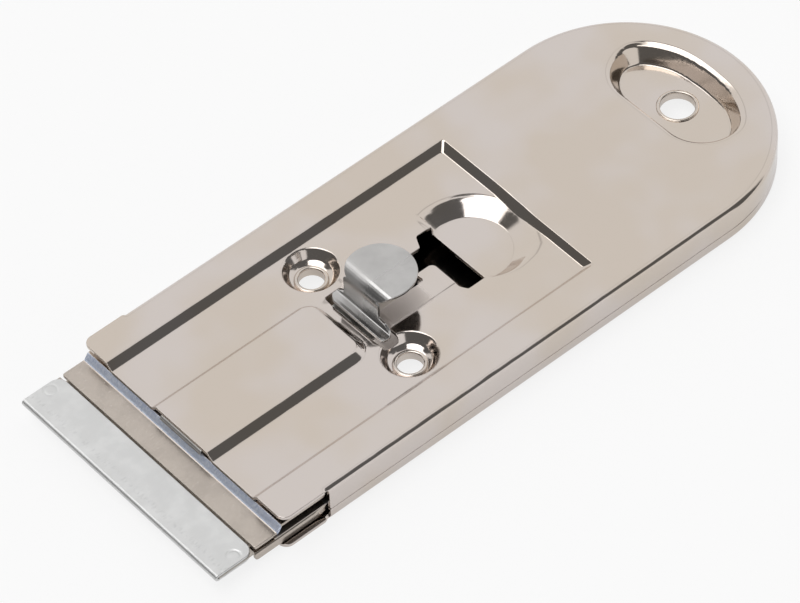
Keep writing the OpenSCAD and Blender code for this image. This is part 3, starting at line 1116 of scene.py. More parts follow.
@dataclass
class TopShell(ShellSheet):
    """Upper shell: sunk panel, raised channel, slot with its cross openings, thumb recess and oval recess.

    The island is a low step round the slot, and the apron slopes down to the front cross opening. The steps
    of the panel run wider on the left. The thumb recess's wall has a run of its own at each angle.
    """

    panel_depth: float = 0.85
    panel_half: float = 13.7
    panel_end: float = 55.0
    panel_corner: float = 0.5
    run: float = 0.8
    wide_run: float = 1.05
    spread_half: float = 3.0
    run_soft: float = 0.10
    channel_half: float = 5.0
    channel_end: float = 25.2
    channel_corner: float = 1.6
    channel_soft: float = 0.13
    island_rise: float = 0.11
    island_right: float = -4.4
    island_left: float = 5.3
    island_ends: tuple[float, float] = (30.6, 45.0)
    island_run: float = 0.5
    island_side_runs: tuple[float, float] = (0.1222222, 2.75)
    floor: float = 3.3
    thumb: tuple[float, float] = (47.3, -0.5)
    thumb_r: float = 5.55
    thumb_depth: float = 1.4
    thumb_foot: float = 0.04
    thumb_runs: tuple[tuple[float, float], ...] = (
        (-180, .05), (-118, .05), (-104, .9), (-88, 1.45), (-62, 2.4), (-42, 3.4), (-18, 2.6), (0, 2.4),
        (60, 2.4), (103, 2.4), (108.5, .05), (180, .05))
    oval: tuple[float, float] = (84.2, 0.4)
    oval_half: float = 4.6
    oval_r: float = 4.45
    oval_steep: float = 1.2
    oval_wide: float = 0.45
    oval_lean: float = 0.3
    oval_drop: float = 0.27
    oval_corner: float = 1.2
    oval_lean_run: float = 3.0
    sweep_r: float = 14.05
    apron_x: float = 25.4
    apron_y: float = -0.35
    apron_half: float = 5.3
    apron_run: float = 3.0
    apron_end: float = 30.2
    apron_end_run: float = 1.2
    apron_drop: float = 0.27

    def height_at(self, x: np.ndarray, y: np.ndarray) -> np.ndarray:
        """Presses the panel, the dimples and the recesses into the deck.

        Args:
            x: Where along the deck.
            y: Where across it.

        Returns:
            The height at each place.
        """
        panel = self.height - self.panel_depth
        left = clip_ramp((y / self.spread_half + 1) / 2, SOFT)
        spread = (self.wide_run - self.run) * left
        out = soft_max(np.abs(y) - self.panel_half, x - self.panel_end, self.panel_corner)
        q = np.stack([np.abs(y) - self.channel_half, x - self.channel_end]) + self.channel_corner
        inner = np.linalg.norm(np.maximum(q, 0), axis=0) + np.minimum(q.max(0), 0) - self.channel_corner
        channel = 1 - clip_ramp(inner / (self.wide_run - spread), self.channel_soft)
        rise = np.maximum(clip_ramp(out / (self.run + spread), self.run_soft), channel)
        z = panel + self.panel_depth * rise
        for side in (-1, 1):
            z -= self.dimple(x, y, (self.eyelet_x, side * self.eyelet_y), panel - self.floor, self.dimple_r)
        return z + self._island(x, y) - self._apron(x, y) - self._thumb(x, y) - self._oval(x, y)

    def _island(self, x: np.ndarray, y: np.ndarray) -> np.ndarray:
        """How far the low step round the slot rises from the panel, steeply on its right.

        Args:
            x: Where along the deck.
            y: Where across it.

        Returns:
            The rise at each place.
        """
        (front, rear), (right_run, left_run) = self.island_ends, self.island_side_runs
        along = clip_ramp((x - front) / self.island_run, SOFT) * clip_ramp((rear - x) / self.island_run, SOFT)
        beside = np.maximum((y - self.island_left) / left_run, (self.island_right - y) / right_run)
        return self.island_rise * along * (1 - clip_ramp(beside, SOFT))

    def _apron(self, x: np.ndarray, y: np.ndarray) -> np.ndarray:
        """How far the apron before the front cross opening slopes down.

        Args:
            x: Where along the deck.
            y: Where across it.

        Returns:
            The drop at each place.
        """
        along = clip_ramp((x - self.apron_x) / self.apron_run, self.run_soft)
        along = along * clip_ramp((self.apron_end - x) / self.apron_end_run, SOFT)
        return self.apron_drop * along * clip_ramp(self.apron_half - np.abs(y - self.apron_y), SOFT)

    def _thumb(self, x: np.ndarray, y: np.ndarray) -> np.ndarray:
        """How far the half-round thumb recess lowers the panel. Its wall fans out to the rear step.

        Args:
            x: Where along the deck.
            y: Where across it.

        Returns:
            The depth at each place.
        """
        out_x, out_y = x - self.thumb[0], y - self.thumb[1]
        run = np.interp(np.degrees(np.arctan2(out_y, out_x)), *np.transpose(self.thumb_runs))
        t = (np.hypot(out_x, out_y) - self.thumb_r) / run
        return self.thumb_depth * (1 - rise_from(t, self.thumb_foot) + rise_from(t - 1, SOFT))

    def _oval(self, x: np.ndarray, y: np.ndarray) -> np.ndarray:
        """How far the oval recess lowers the deck. Its rear wall follows the shell's round end.

        Args:
            x: Where along the deck.
            y: Where across it.

        Returns:
            The depth at each place.
        """
        ends = np.maximum(np.abs(y - self.oval[1]) - self.oval_half, 0)
        reach = np.hypot(ends, x - self.oval[0]) - self.oval_r
        sweep = np.hypot(x - self.end_x, y) - self.sweep_r
        wide = self.oval_wide + self.oval_lean * clip_ramp((x - self.oval[0]) / self.oval_lean_run, SOFT)
        depth = self.height - self.floor
        out = soft_max(reach, sweep, self.oval_corner)
        return depth - shouldered(out, depth, self.oval_steep, wide, self.oval_drop, foot=0.15, rim=0.25)

    def blank(self) -> list[np.ndarray]:
        """Adds the opening for the tab: front cross, wide slot, narrow slot and rear cross.

        Returns:
            The outline, then the holes and the opening.
        """
        front_cross_right = [(27.5, -6.3, .3), (30.2, -6.3, .3), (30.2, -1.4, .2)]
        slots_right = [(38.7, -1.4, .4), (38.5, 0.05, .2), (41.35, 0.05, .8)]
        rear_cross = [(41.35, -5.2, .5), (41.95, -6.2, .3), (45.4, -6.2, .4), (45.4, 4.85, .35),
                      (42.8, 4.85, .4), (41.9, 3.07, .25)]
        slots_left = [(38.5, 3.07, .2), (38.5, 4.5, .3), (30.2, 4.5, .2)]
        front_cross_left = [(30.2, 4.95, .3), (27.5, 4.95, .3)]
        opening = front_cross_right + slots_right + rear_cross + slots_left + front_cross_left
        return [*super().blank(), rounded_outline(opening, 6)]


@dataclass
class BottomShell(ShellSheet):
    """Lower shell: a plain pressed tray whose three dimples reach up to the upper shell."""

    wall_end: float = 3.82
    floor: float = 3.5
    hang_dimple_r: float = 3.05

    def height_at(self, x: np.ndarray, y: np.ndarray) -> np.ndarray:
        """Presses the three dimples into the floor, with the shell turned upside down.

        Args:
            x: Where along the deck.
            y: Where across it.

        Returns:
            The height at each place.
        """
        z, depth = self.height, self.height - self.floor
        for side in (-1, 1):
            z = z - self.dimple(x, y, (self.eyelet_x, side * self.eyelet_y), depth, self.dimple_r)
        return z - self.dimple(x, y, (self.hang_x, 0.0), depth, self.hang_dimple_r)

    def surface(self, flat: np.ndarray) -> np.ndarray:
        """Turns the shell over about its own middle height.

        Args:
            flat: Points of the blank.

        Returns:
            The same points in space.
        """
        points = super().surface(flat)
        points[:, 2] = self.height - points[:, 2]
        return points

    def normals(self, flat: np.ndarray) -> np.ndarray:
        """Outward normals, which point down on the floor."""
        return -super().normals(flat)

    def back_offset(self, flat: np.ndarray, normals: np.ndarray) -> np.ndarray:
        """Goes straight up over the floor, and along the normal behind the wall.

        Args:
            flat: Points of the blank.
            normals: Normals of the face there.

        Returns:
            From each point of the face to the back.
        """
        offset = super().back_offset(flat, normals)
        upright = ~offset[:, :2].any(1)
        offset[upright, 2] = self.thickness
        return offset


# Blade

@dataclass
class Spine(Sheet):
    """Folded aluminium back of the blade: one leaf on each side of the steel, closed round its outer edge."""

    width: float = 38.1
    depth: float = 6.2
    reach: float = 10.448
    top_z: float = 3.155
    fold: float = 0.5
    corner: float = 1.5
    stake: tuple[float, float] = (2.4, 1.15)
    stake_r: float = 0.84
    stake_run: float = 0.16
    stake_depth: float = 0.03
    stake_gap: tuple[float, float] = (5.0, 0.6)
    faint: float = 0.6
    line_x: float = 1.15
    line_run: float = 0.10
    line_depth: float = 0.022

    def blank(self) -> list[np.ndarray]:
        """Both leaves laid flat, with the corners next to the steel rounded."""
        s, w, r = self.depth - self.fold + self.fold * QUARTER, self.width / 2, self.corner
        return [rounded_outline([(s, -w, r), (s, w, r), (-s, w, r), (-s, -w, r)], 10)]

    def surface(self, flat: np.ndarray) -> np.ndarray:
        """Wraps the blank round the outer edge.

        Args:
            flat: Points of the blank.

        Returns:
            The same points in space.
        """
        s, y = flat[:, 0], flat[:, 1]
        side = np.where(s >= 0, 1.0, -1.0)
        turn = np.clip(s / self.fold, -QUARTER, QUARTER)
        beyond = np.maximum(np.abs(s) - self.fold * QUARTER, 0)
        x = self.fold - self.fold * np.cos(turn) + beyond - self.reach
        z = self.top_z - self.fold + self.fold * np.sin(turn)
        return np.stack([x, y, z - side * self._press(x, y) * (beyond > 0)], 1)

    def _press(self, x: np.ndarray, y: np.ndarray) -> np.ndarray:
        """Finds the depth of the two staking marks and of the fine line beside the fold.

        The mark on the left is faint. The one on the right is a C that opens outwards.

        Args:
            x: Where along the tool.
            y: Where across it.

        Returns:
            The depth at each place.
        """
        press = self.line_depth * np.exp(-(((x + self.reach - self.line_x) / self.line_run) ** 2))
        stake_x, stake_y = self.depth - self.reach - self.stake[0], self.width / 2 - self.stake[1]
        gap, run = self.stake_gap
        opening = np.tanh((x + y + self.reach + self.width / 2 - gap) / run)
        for end, deep in ((-1, self.stake_depth * (1 + opening)), (1, self.stake_depth * self.faint)):
            ring = np.hypot(x - stake_x, y - end * stake_y) - self.stake_r
            press = press + deep * np.exp(-((ring / self.stake_run) ** 2))
        return press


@dataclass
class BladeSteel(Sheet):
    """Hardened strip with two notches beside the back and a ground edge."""

    width: float = 38.1
    front: float = -9.85
    edge_x: float = 8.55
    z: float = 2.54
    bevel: float = 1.6
    edge_share: float = 0.12
    notch: Triple = (-4.25, 3.2, 1.2)

    def blank(self) -> list[np.ndarray]:
        """The strip's outline with its notches.

        Returns:
            The outline alone.
        """
        w, (x, length, deep) = self.width / 2, self.notch
        return [rounded_outline(mirrored([
            (self.front, -w, .1), (x, -w, .1), (x, deep - w, .3), (x + length, deep - w, .3),
            (x + length, -w, .1), (self.edge_x, -w, .03)]), 4)]

    def _half(self, x: np.ndarray) -> np.ndarray:
        """Half of the thickness, which falls to the edge."""
        share = np.clip((self.edge_x - x) / self.bevel, 0, 1)
        return self.thickness / 2 * (self.edge_share + (1 - self.edge_share) * share)

    def surface(self, flat: np.ndarray) -> np.ndarray:
        """Upper face of the strip."""
        x, y = flat[:, 0], flat[:, 1]
        return np.stack([x, y, self.z + self.thickness / 2 + self._half(x)], 1)

    def back_offset(self, flat: np.ndarray, normals: np.ndarray) -> np.ndarray:
        """Down to the lower face."""
        return np.outer(-2 * self._half(flat[:, 0]), [0.0, 0.0, 1.0])


# Bent strips

def bent_line(corners: Sequence[Triple], steps: int = 7) -> np.ndarray:
    """Draws an open line in X and Z with rounded bends.

    Args:
        corners: x, z and bend radius of each corner. The first and last radii aren't used.
        steps: Points on each bend.

    Returns:
        Array of shape (n, 2).
    """
    points = [np.array([corners[0][:2]], float)]
    for before, bend, after in zip(corners, corners[1:], corners[2:]):
        points.append(rounded_outline([(*before[:2], 0.0), bend, (*after[:2], 0.0)], steps)[1:-1])
    return np.concatenate([*points, [corners[-1][:2]]])


class Line:
    """A bent line that can be read at any distance along it."""

    def __init__(self, points: np.ndarray) -> None:
        """Measures the line."""
        self.points = points
        self.at = np.concatenate([[0.0], np.cumsum(np.linalg.norm(np.diff(points, axis=0), axis=1))])

    @property
    def length(self) -> float:
        """Length of the line."""
        return float(self.at[-1])

    def read(self, s: np.ndarray) -> np.ndarray:
        """Reads the line, which runs straight on beyond either end.

        Args:
            s: Distances along the line.

        Returns:
            Points at those distances, of shape (n, 2).
        """
        out = np.stack([np.interp(s, self.at, self.points[:, i]) for i in range(2)], 1)
        first, last = unit_rows(np.diff(self.points, axis=0)[[0, -1]])
        return out + np.outer(np.minimum(s, 0), first) + np.outer(np.maximum(s - self.length, 0), last)


@dataclass
class BentSheet(Sheet):
    """A strip bent along its length, in the X-Z plane, with its face on the left of the line."""

    line: Line = field(kw_only=True)
    half_width: float = 4.0
    middle_y: float = 0.0
    ends: tuple[float, float] = (0.3, 0.3)

    def blank(self) -> list[np.ndarray]:
        """A rectangle as long as the line."""
        w, (front, rear) = self.half_width, self.ends
        return [rounded_outline(mirrored([(0, -w, front), (self.line.length, -w, rear)]))]

    def surface(self, flat: np.ndarray) -> np.ndarray:
        """Lays the strip along the line."""
        line = self.line.read(flat[:, 0])
        return np.stack([line[:, 0], flat[:, 1] + self.middle_y, line[:, 1]], 1)

    def normals(self, flat: np.ndarray) -> np.ndarray:
        """Normals from a step that spans the line's short chords.

        Args:
            flat: Points of the blank.

        Returns:
            A unit normal at each point.
        """
        step = [CHORD_STEP, 0]
        along = self.surface(flat + step) - self.surface(flat - step)
        return unit_rows(np.stack([-along[:, 2], np.zeros(len(flat)), along[:, 0]], 1))


@dataclass
class Tray(BentSheet):
    """Lower leaf of the carrier, with its side edges folded down as runners."""

    bend: float = 0.45
    foot: float = 0.75

    def blank(self) -> list[np.ndarray]:
        """A rectangle that takes in both runners.

        Returns:
            The outline alone.
        """
        drop = self.line.points[:, 1].min() - self.foot - self.bend + self.bend * QUARTER
        w = self.half_width - self.bend + drop
        return [rounded_outline(mirrored([(0, -w, .5), (self.line.length, -w, .5)]))]

    def surface(self, flat: np.ndarray) -> np.ndarray:
        """Folds both sides down.

        Args:
            flat: Points of the blank.

        Returns:
            The same points in space.
        """
        line = self.line.read(flat[:, 0])
        inner = self.half_width - self.bend
        out = np.abs(flat[:, 1])
        over = np.maximum(out - inner, 0)
        turn = np.minimum(over / self.bend, QUARTER)
        y = np.sign(flat[:, 1]) * (np.minimum(out, inner) + self.bend * np.sin(turn))
        z = line[:, 1] - self.bend * (1 - np.cos(turn)) - np.maximum(over - self.bend * QUARTER, 0)
        return np.stack([line[:, 0], y, z], 1)

    def normals(self, flat: np.ndarray) -> np.ndarray:
        """Normals that follow both the bends and the folded sides."""
        return Sheet.normals(self, flat)


@dataclass
class ThumbTab(BentSheet):
    """Round thumb pad on a bent neck, with a wide rolled lug at its foot."""

    pad_r: float = 4.75
    neck: tuple[float, float] = (-3.3, 3.38)
    lug: tuple[float, float] = (-6.0, 4.6)

    def blank(self) -> list[np.ndarray]:
        """Lug with its rounded shoulder, neck and round pad, laid flat.

        Returns:
            The outline alone.
        """
        (right, left), (low, high) = self.neck, self.lug
        start, end = (math.degrees(math.asin(side / self.pad_r)) for side in (-right, left))
        pad = arc((self.line.length - self.pad_r, 0), self.pad_r, start - 180, 180 - end, 72)
        foot = rounded_outline([
            (pad[-1][0] - 0.3, left, .4), (1.9, left, .2), (1.6, high, .3), (0.7, high, .6), (0, left, .3),
            (0, low, .2), (1.35, low, .6), (2.3, -4.4, .8), (2.45, right, .25),
            (pad[0][0] - 0.3, right, .4)], 6)
        return [np.concatenate([foot, pad])]


# Repeated and turned pieces by geometry nodes

class GeometryTree(NodeTree):
    """Builds a geometry node tree with named inputs and runs it."""

    def __init__(self, name: str) -> None:
        """Starts an empty tree with a geometry input and output.

        Args:
            name: Name of the tree.
        """
        super().__init__(bpy.data.node_groups.new(name, "GeometryNodeTree"))
        for way in ("INPUT", "OUTPUT"):
            self.tree.interface.new_socket("Geometry", in_out=way, socket_type="NodeSocketGeometry")
        self.start = self.node("NodeGroupInput")
        self.sizes: dict[str, float] = {}

    def size(self, name: str, value: float) -> Value:
        """Adds a named size.

        Args:
            name: Name of the input.
            value: What it holds.

        Returns:
            The input inside the tree.
        """
        item = self.tree.interface.new_socket(name, in_out="INPUT", socket_type="NodeSocketFloat")
        self.sizes[item.identifier] = item.default_value = value
        return Value(self, self.start.outputs[name])

    def close(self, geometry: bpy.types.NodeSocket, material: bpy.types.Material) -> None:
        """Ends the tree in Realize Instances and Set Material.

        Args:
            geometry: What the tree has made.
            material: The finish that it gets.
        """
        real = self.node("GeometryNodeRealizeInstances", None, {0: geometry})
        smooth = self.node("GeometryNodeSetShadeSmooth", None, {"Geometry": real.outputs[0]})
        dressed = self.node("GeometryNodeSetMaterial", None, {
            "Geometry": smooth.outputs[0], "Material": material})
        self.node("NodeGroupOutput", None, {0: dressed.outputs[0]})

    def run(self, name: str, points: np.ndarray, edges: Sequence[tuple[int, int]] = ()) -> bpy.types.Object:
        """Runs the tree on a mesh of points and edges.

        Args:
            name: Name of the result.
            points: The points in metres.
            edges: The edges between them.

        Returns:
            An object with the resulting plain mesh.
        """
        seeds = bpy.data.meshes.new(name + "_seeds")
        seeds.from_pydata(points.tolist(), edges, [])
        holder = add_object(name + "_seeds", seeds)
        modifier = holder.modifiers.new("make", "NODES")
        modifier.node_group = self.tree
        for identifier, value in self.sizes.items():
            modifier[identifier] = value
        bpy.context.view_layer.update()
        depsgraph = bpy.context.evaluated_depsgraph_get()
        result = bpy.data.meshes.new_from_object(holder.evaluated_get(depsgraph), depsgraph=depsgraph)
        holder.modifiers.clear()
        bpy.data.objects.remove(holder)
        result.name = name
        return add_object(name, result)


@dataclass
class RivetRow:
    """Four small rivets through the rear edge of the carrier, each with a domed head above and below."""

    name: str
    x: float = 10.475
    ys: tuple[float, ...] = (-15.08, -9.05, 9.05, 15.08)
    zs: tuple[float, float] = (2.95, 2.05)
    head_r: float = 0.78
    head_h: float = 0.28

    def build(self) -> bpy.types.Object:
        """Puts a domed head on each seed point, flattened to its height.

        Returns:
            The heads, as one piece.
        """
        tree = GeometryTree("rivet_heads")
        radius = tree.size("Head Radius", self.head_r * MM)
        flatness = tree.size("Head Flatness", self.head_h / self.head_r)
        ball = tree.node("GeometryNodeMeshUVSphere", None, {"Segments": 20, "Rings": 10, "Radius": radius})
        scale = tree.node("ShaderNodeCombineXYZ", None, {0: 1.0, 1: 1.0, 2: flatness})
        heads = tree.node("GeometryNodeInstanceOnPoints", None, {
            "Points": tree.start.outputs[0], "Instance": ball.outputs[0], "Scale": scale.outputs[0]})
        tree.close(heads.outputs[0], EYELET_NICKEL.material())
        seeds = TOOL.place(np.array([(self.x, y, z) for y in self.ys for z in self.zs]))
        return settle(tree.run(self.name, seeds), EYELET_NICKEL, Body.CARRIER, ("carrier_rivets",))


@dataclass
class Eyelet:
    """Hollow rivet through both shells: a tube whose ends roll outwards over the dimples."""

    node: str
    x: float
    y: float
    bore: float
    upper_z: float = 3.60
    lower_z: float = 2.16
    wall: float = 0.22
    flange: float = 0.30
    roll: float = 0.3
    lip: float = 0.15

    def profile(self) -> np.ndarray:
        """Draws the closed cross-section of the eyelet.

        Returns:
            Radius and height of its points.
        """
        inner, tube, rim = self.bore, self.bore + self.wall, self.bore + self.wall + self.flange
        top, low = self.upper_z, self.lower_z
        corners = [
            (inner, low, .13), (rim, low, .06), (rim, low + self.lip, .05), (tube, low + self.lip, .02),
            (tube, top - self.roll, .02), (rim, top - self.roll, .08), (rim, top, .2), (inner, top, .2)]
        return resample(rounded_outline(corners, 5), 0.2)

    def build(self) -> bpy.types.Object:
        """Sweeps the cross-section round the hole.

        Returns:
            The eyelet.
        """
        radius, height = self.profile().T
        section = np.stack([radius, -height, 0 * height], 1) * MM
        edges = [(i, (i + 1) % len(section)) for i in range(len(section))]
        tree = GeometryTree(self.node + "_turned")
        ring = tree.size("Ring Radius", (self.bore + self.wall) * MM)
        circle = tree.node("GeometryNodeCurvePrimitiveCircle", None, {"Resolution": 72, "Radius": ring})
        outline = tree.node("GeometryNodeMeshToCurve", None, {0: tree.start.outputs[0]})
        inwards = tree.node("ShaderNodeCombineXYZ", None, {0: ring * -1.0})
        moved = tree.node("GeometryNodeTransform", None, {
            "Geometry": outline.outputs[0], "Translation": inwards.outputs[0]})
        swept = tree.node("GeometryNodeCurveToMesh", None, {
            "Curve": circle.outputs[0], "Profile Curve": moved.outputs[0]})
        center = TOOL.place(np.array([[self.x, self.y, 0.0]]))[0]
        put = tree.node("GeometryNodeTransform", None, {
            "Geometry": swept.outputs[0], "Translation": center.tolist()})
        tree.close(put.outputs[0], EYELET_NICKEL.material())
        made = tree.run(self.node + "_ring", section, edges)
        self._outward(made.data)
        return settle(made, EYELET_NICKEL, Body.SHELLS, (self.node,))

    @staticmethod
    def _outward(mesh: bpy.types.Mesh) -> None:
        """Merges doubles and turns every face of a closed mesh outwards.

        Args:
            mesh: The mesh to mend.
        """
        work = bmesh.new()
        work.from_mesh(mesh)
        bmesh.ops.remove_doubles(work, verts=work.verts, dist=WELD)
        bmesh.ops.recalc_face_normals(work, faces=work.faces)
        work.to_mesh(mesh)
        work.free()


# Assemblies

@dataclass
class Housing:
    """The two shells and the eyelets that hold them together."""

    eyelet_bore: float = 1.72
    hang_bore: float = 2.35
    hang_top: float = 3.48
    hang_flange: float = 0.26
    hang_roll: float = 0.15

    def build(self) -> list[bpy.types.Object]:
        """Makes all five pieces.

        Returns:
            The pieces.
        """
        top = TopShell("top_shell_skin", Body.SHELLS, NICKEL, replaced=("top_shell",))
        bottom = BottomShell("bottom_shell_skin", Body.SHELLS, NICKEL, replaced=("bottom_shell",))
        eyelets = [Eyelet(f"{name}_eyelet", top.eyelet_x, side * top.eyelet_y, self.eyelet_bore)
                   for name, side in (("left", 1), ("right", -1))]
        hang = Eyelet("hang_eyelet", top.hang_x, 0.0, self.hang_bore, upper_z=self.hang_top,
                      flange=self.hang_flange, roll=self.hang_roll)
        return [piece.build() for piece in (top, bottom, *eyelets, hang)]


@dataclass
class Carrier:
    """Sliding blade carrier: a tray with runners, a joggled clamp over it and four rivets."""

    half_width: float = 18.85
    reach: float = 4.05
    sheet: float = 0.45
    tray_z: float = 1.95
    rear_z: float = 2.5
    lip_z: float = 3.3
    clamp_z: float = 4.25
    end_x: float = 11.3

    def build(self) -> list[bpy.types.Object]:
        """Makes the clamp, the tray and the rivets.

        Returns:
            The pieces.
        """
        seat_z = self.rear_z + self.sheet
        clamp_line = Line(bent_line([
            (-self.reach, self.lip_z, 0), (-0.5, self.lip_z, .45), (0.15, self.clamp_z, .3),
            (8.75, self.clamp_z, .5), (9.65, seat_z, .5), (self.end_x, seat_z, 0)]))
        tray_line = Line(bent_line([
            (-self.reach, self.tray_z, 0), (5.6, self.tray_z, .8), (7.4, self.rear_z, .8),
            (self.end_x, self.rear_z, 0)]))
        shared = {"thickness": self.sheet, "cell": 0.8, "half_width": self.half_width}
        clamp = BentSheet("carrier_clamp_leaf", Body.CARRIER, CARRIER, replaced=("carrier_clamp",),
                          line=clamp_line, ends=(.35, .8), **shared)
        tray = Tray("carrier_tray_leaf", Body.CARRIER, CARRIER, replaced=("carrier_tray",),
                    line=tray_line, **shared)
        return [clamp.build(), tray.build(), RivetRow("carrier_rivet_heads").build()]


@dataclass
class Tab:
    """Spring leaf in the channel and the thumb tab that stands on it."""

    leaf_half: float = 3.9
    leaf_t: float = 0.32
    hem_z: tuple[float, float] = (4.29, 5.23)
    hem_front: float = -0.3
    hem_end: float = 1.6
    channel_z: float = 4.9
    strip_z: float = 4.25
    stem_t: float = 0.36
    stem_y: float = 1.55
    stem_half: float = 1.3
    tab_t: float = 0.4
    tab_h: float = 10.1
    neck_x: float = 29.3
    bend_r: float = 1.9
    lug_z: float = 5.15
    lug_x: float = 27.75
    lug_top: float = 5.72
    pad_end: float = 37.55

    def build(self) -> list[bpy.types.Object]:
        """Makes the leaf, its stem and the tab."""
        return [self._leaf().build(), self._stem().build(), self._tab().build()]

    def _leaf(self) -> BentSheet:
        """The leaf, whose outer face runs from under the hem round its front and back to the slot.

        Returns:
            The leaf's sheet.
        """
        low, high = self.hem_z
        r, middle = (high - low) / 2, (high + low) / 2
        start = self.hem_front + r
        hem = arc((start, middle), r, 270, 90, 12)
        tail = bent_line([
            (start, high, 0), (1.9, high, .4), (3.4, self.channel_z, .4), (9.75, self.channel_z, .4),
            (10.5, self.strip_z, .4), (self.neck_x + 0.2, self.strip_z, 0)])
        return BentSheet("leaf_strip_blade", Body.TAB, LEAF, thickness=self.leaf_t, cell=0.6,
                         replaced=("leaf_strip",), half_width=self.leaf_half, ends=(.1, .3),
                         line=Line(np.concatenate([[(self.hem_end, low)], hem, tail[1:]])))

    def _stem(self) -> BentSheet:
        """The narrow tongue that passes through the slot and joins the leaf to the lug.

        Returns:
            The stem's sheet.
        """
        x, z = self.neck_x, self.strip_z + 0.02
        line = Line(bent_line([(x - 1.6, z, 0), (x, z, .35), (x, self.lug_z + 0.5, 0)]))
        return BentSheet("leaf_stem", Body.TAB, LEAF, thickness=self.stem_t, cell=0.6, line=line,
                         half_width=self.stem_half, middle_y=self.stem_y, ends=(.1, .1))

    def _tab(self) -> ThumbTab:
        """The bent blank of the tab, from the lug's crest to the end of the pad.

        Returns:
            The tab's sheet.
        """
        x, foot_z = self.neck_x, self.lug_z + self.tab_t * 0.9
        line = Line(bent_line([
            (self.lug_x + 0.02, self.lug_top, 0), (self.lug_x + 0.55, foot_z, .3), (x + 0.02, foot_z, .25),
            (x + 0.12, 7.2, 4.0), (x, self.tab_h, self.bend_r), (self.pad_end, self.tab_h, 0)], 9))
        return ThumbTab("thumb_tab_plate", Body.TAB, TAB, thickness=self.tab_t, cell=0.6, spacing=0.15,
                        replaced=("thumb_tab",), line=line)


@dataclass
class Blade:
    """Single-edge blade, held with its back outwards."""

    steel_t: float = 0.23
    back_t: float = 0.38

    def build(self) -> list[bpy.types.Object]:
        """Makes the strip and its folded back.

        Returns:
            The pieces.
        """
        steel = BladeSteel("blade_steel_strip", Body.BLADE, BLADE, thickness=self.steel_t, edge=0.03,
                           replaced=("blade_steel",))
        spine = Spine("blade_spine_fold", Body.BLADE, SPINE, thickness=self.back_t, edge=0.12, cell=0.8,
                      replaced=("blade_spine",))
        return [steel.build(), spine.build()]


# Studio

@dataclass(frozen=True)
class Border:
    """A soft border across the surround: a weighted sum of a direction's parts runs from low to high."""

    weights: Triple
    low: float
    high: float


Patch = tuple[Border, ...]
ALONG, ACROSS, UP = (1.0, 0.0, 0.0), (0.0, 1.0, 0.0), (0.0, 0.0, 1.0)
MIRRORED_VIEW = (0.411, 0.513, 0.753)  # what the level deck shows the camera


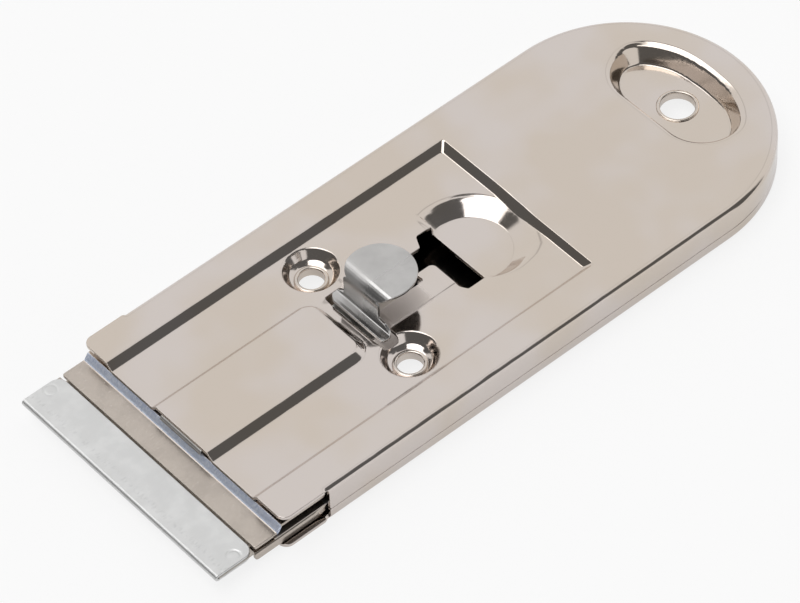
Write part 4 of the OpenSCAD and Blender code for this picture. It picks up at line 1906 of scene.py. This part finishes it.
@dataclass
class Studio:
    """Pale floor, soft surround and camera. Each patch of the surround lies inside all of its borders."""

    focal_px: float = 5000.0
    image_width: int = 800
    sensor: float = 36.0
    clip: tuple[float, float] = (0.01, 20.0)
    eye: Triple = (-225.2546, -325.6373, 480.1470)
    azimuth: float = -38.7091
    elevation: float = 48.8842
    roll: float = -3.0879
    floor_half: float = 4.0
    floor_z: float = -0.00002
    backdrop: float = 0.82
    mirrored: float = 0.5
    level: float = 0.92
    dim: float = 0.13
    panel: float = 2.4
    ring_drop: float = 0.3
    dark: tuple[Patch, ...] = (
        (Border(UP, 0.86, 0.81), Border(UP, -0.04, 0.0), Border(ACROSS, -0.87, -0.79),
         Border((-0.676, -0.737, 0.0), -0.26, -0.12)),
        (Border((0.087, -0.30, 0.95), 0.93, 0.95),),
        (Border(ALONG, 0.34, 0.28), Border(ACROSS, 0.14, 0.20), Border(UP, 0.85, 0.875)))
    glare: tuple[Patch, ...] = (
        (Border((-0.35, 0.0, 0.937), 0.918, 0.94),),
        (Border((-0.03, 0.36, 0.932), 0.966, 0.98),))
    ring: Patch = (Border(MIRRORED_VIEW, 0.950, 0.962), Border(MIRRORED_VIEW, 0.982, 0.972))

    def build(self) -> None:
        """Makes the whole studio."""
        self._floor()
        self._surround()
        self._camera()

    def _floor(self) -> None:
        """Lays a wide pale floor under the tool."""
        s = self.floor_half
        mesh = bpy.data.meshes.new("floor")
        mesh.from_pydata([(-s, -s, 0), (s, -s, 0), (s, s, 0), (-s, s, 0)], [], [(0, 1, 2, 3)])
        made = add_object("floor", mesh)
        made.location.z = self.floor_z
        material = bpy.data.materials.new("pale_floor")
        shader = Shader(material)
        matt = shader.principled({
            "Base Color": rgba(0.93, 0.93, 0.93), "Roughness": 0.9, "Specular IOR Level": 0.1})
        white = shader.node("ShaderNodeEmission", None, {"Color": rgba(1, 1, 1), "Strength": 1.0})
        path = shader.node("ShaderNodeLightPath")
        camera, glossy, through = (Value(shader, path.outputs[f"Is {kind} Ray"])
                                   for kind in ("Camera", "Glossy", "Transmission"))
        share = camera * self.backdrop + (glossy + through) * self.mirrored
        mixed = shader.node("ShaderNodeMixShader", None, {0: share, 1: matt, 2: white.outputs[0]})
        shader.close("ShaderNodeOutputMaterial", mixed.outputs[0])
        mesh.materials.append(material)

    @staticmethod
    def _patch(axes: tuple[Value, Value, Value], patch: Patch) -> Value:
        """How far a direction lies inside all the borders of a patch.

        Args:
            axes: The three parts of the direction.
            patch: Its borders.

        Returns:
            1 inside, 0 outside, and between the two in a border.
        """
        inside = 1.0
        for border in patch:
            across = sum(axis * weight for axis, weight in zip(axes, border.weights) if weight)
            inside = inside * across.band(border.low, border.high)
        return inside

    def _surround(self) -> None:
        """Lights the tool from all round, at a plain level but for what the metal needs to mirror.

        Those are the dark patches, two bright panels and a duller ring. The camera sees the surround white.
        """
        world = bpy.data.worlds.new("soft_surround")
        bpy.context.scene.world = world
        shader = Shader(world)
        axes = shader.axes(shader.node("ShaderNodeTexCoord").outputs["Generated"])
        dark, glare = (sum(self._patch(axes, patch) for patch in patches).band(0.0, 1.0)
                       for patches in (self.dark, self.glare))
        level = self.level - self.ring_drop * self._patch(axes, self.ring)
        for share, aim in ((dark, self.dim), (glare, self.panel)):
            level = level + share * (aim - level)
        camera = Value(shader, shader.node("ShaderNodeLightPath").outputs["Is Camera Ray"])
        strength = level + camera * (1.0 - level)
        sky = shader.node("ShaderNodeBackground", None, {"Color": rgba(1, 1, 1), "Strength": strength})
        shader.close("ShaderNodeOutputWorld", sky.outputs[0])

    def _camera(self) -> None:
        """Places the camera at the photograph's viewing angle."""
        azimuth, elevation, roll = map(math.radians, (self.azimuth, self.elevation, self.roll))
        right = Vector((math.cos(azimuth), math.sin(azimuth), 0))
        toward = Vector((right.y, -right.x, 0)) * math.cos(elevation) + Vector(UP) * math.sin(elevation)
        up = toward.cross(right)
        turned = (math.cos(roll) * right + math.sin(roll) * up,
                  math.cos(roll) * up - math.sin(roll) * right, toward)
        data = bpy.data.cameras.new("camera")
        data.sensor_fit = "HORIZONTAL"
        data.sensor_width = self.sensor
        data.lens = self.focal_px * self.sensor / self.image_width
        data.clip_start, data.clip_end = self.clip
        made = add_object("camera", data)
        eye = Vector(TOOL.place(np.array([self.eye]))[0])
        made.matrix_world = Matrix.Translation(eye) @ Matrix(turned).transposed().to_4x4()
        bpy.context.scene.camera = made


def main() -> None:
    """Builds the studio and the dressed tool, and reports each piece."""
    logging.basicConfig(level=logging.INFO, format="%(name)s: %(message)s")
    bpy.context.scene.view_settings.view_transform = "Standard"
    Studio().build()
    for assembly in (Housing(), Carrier(), Tab(), Blade()):
        pieces = assembly.build()
        log.info("%s: %d pieces", type(assembly).__name__, len(pieces))


if __name__ == "__main__":
    main()
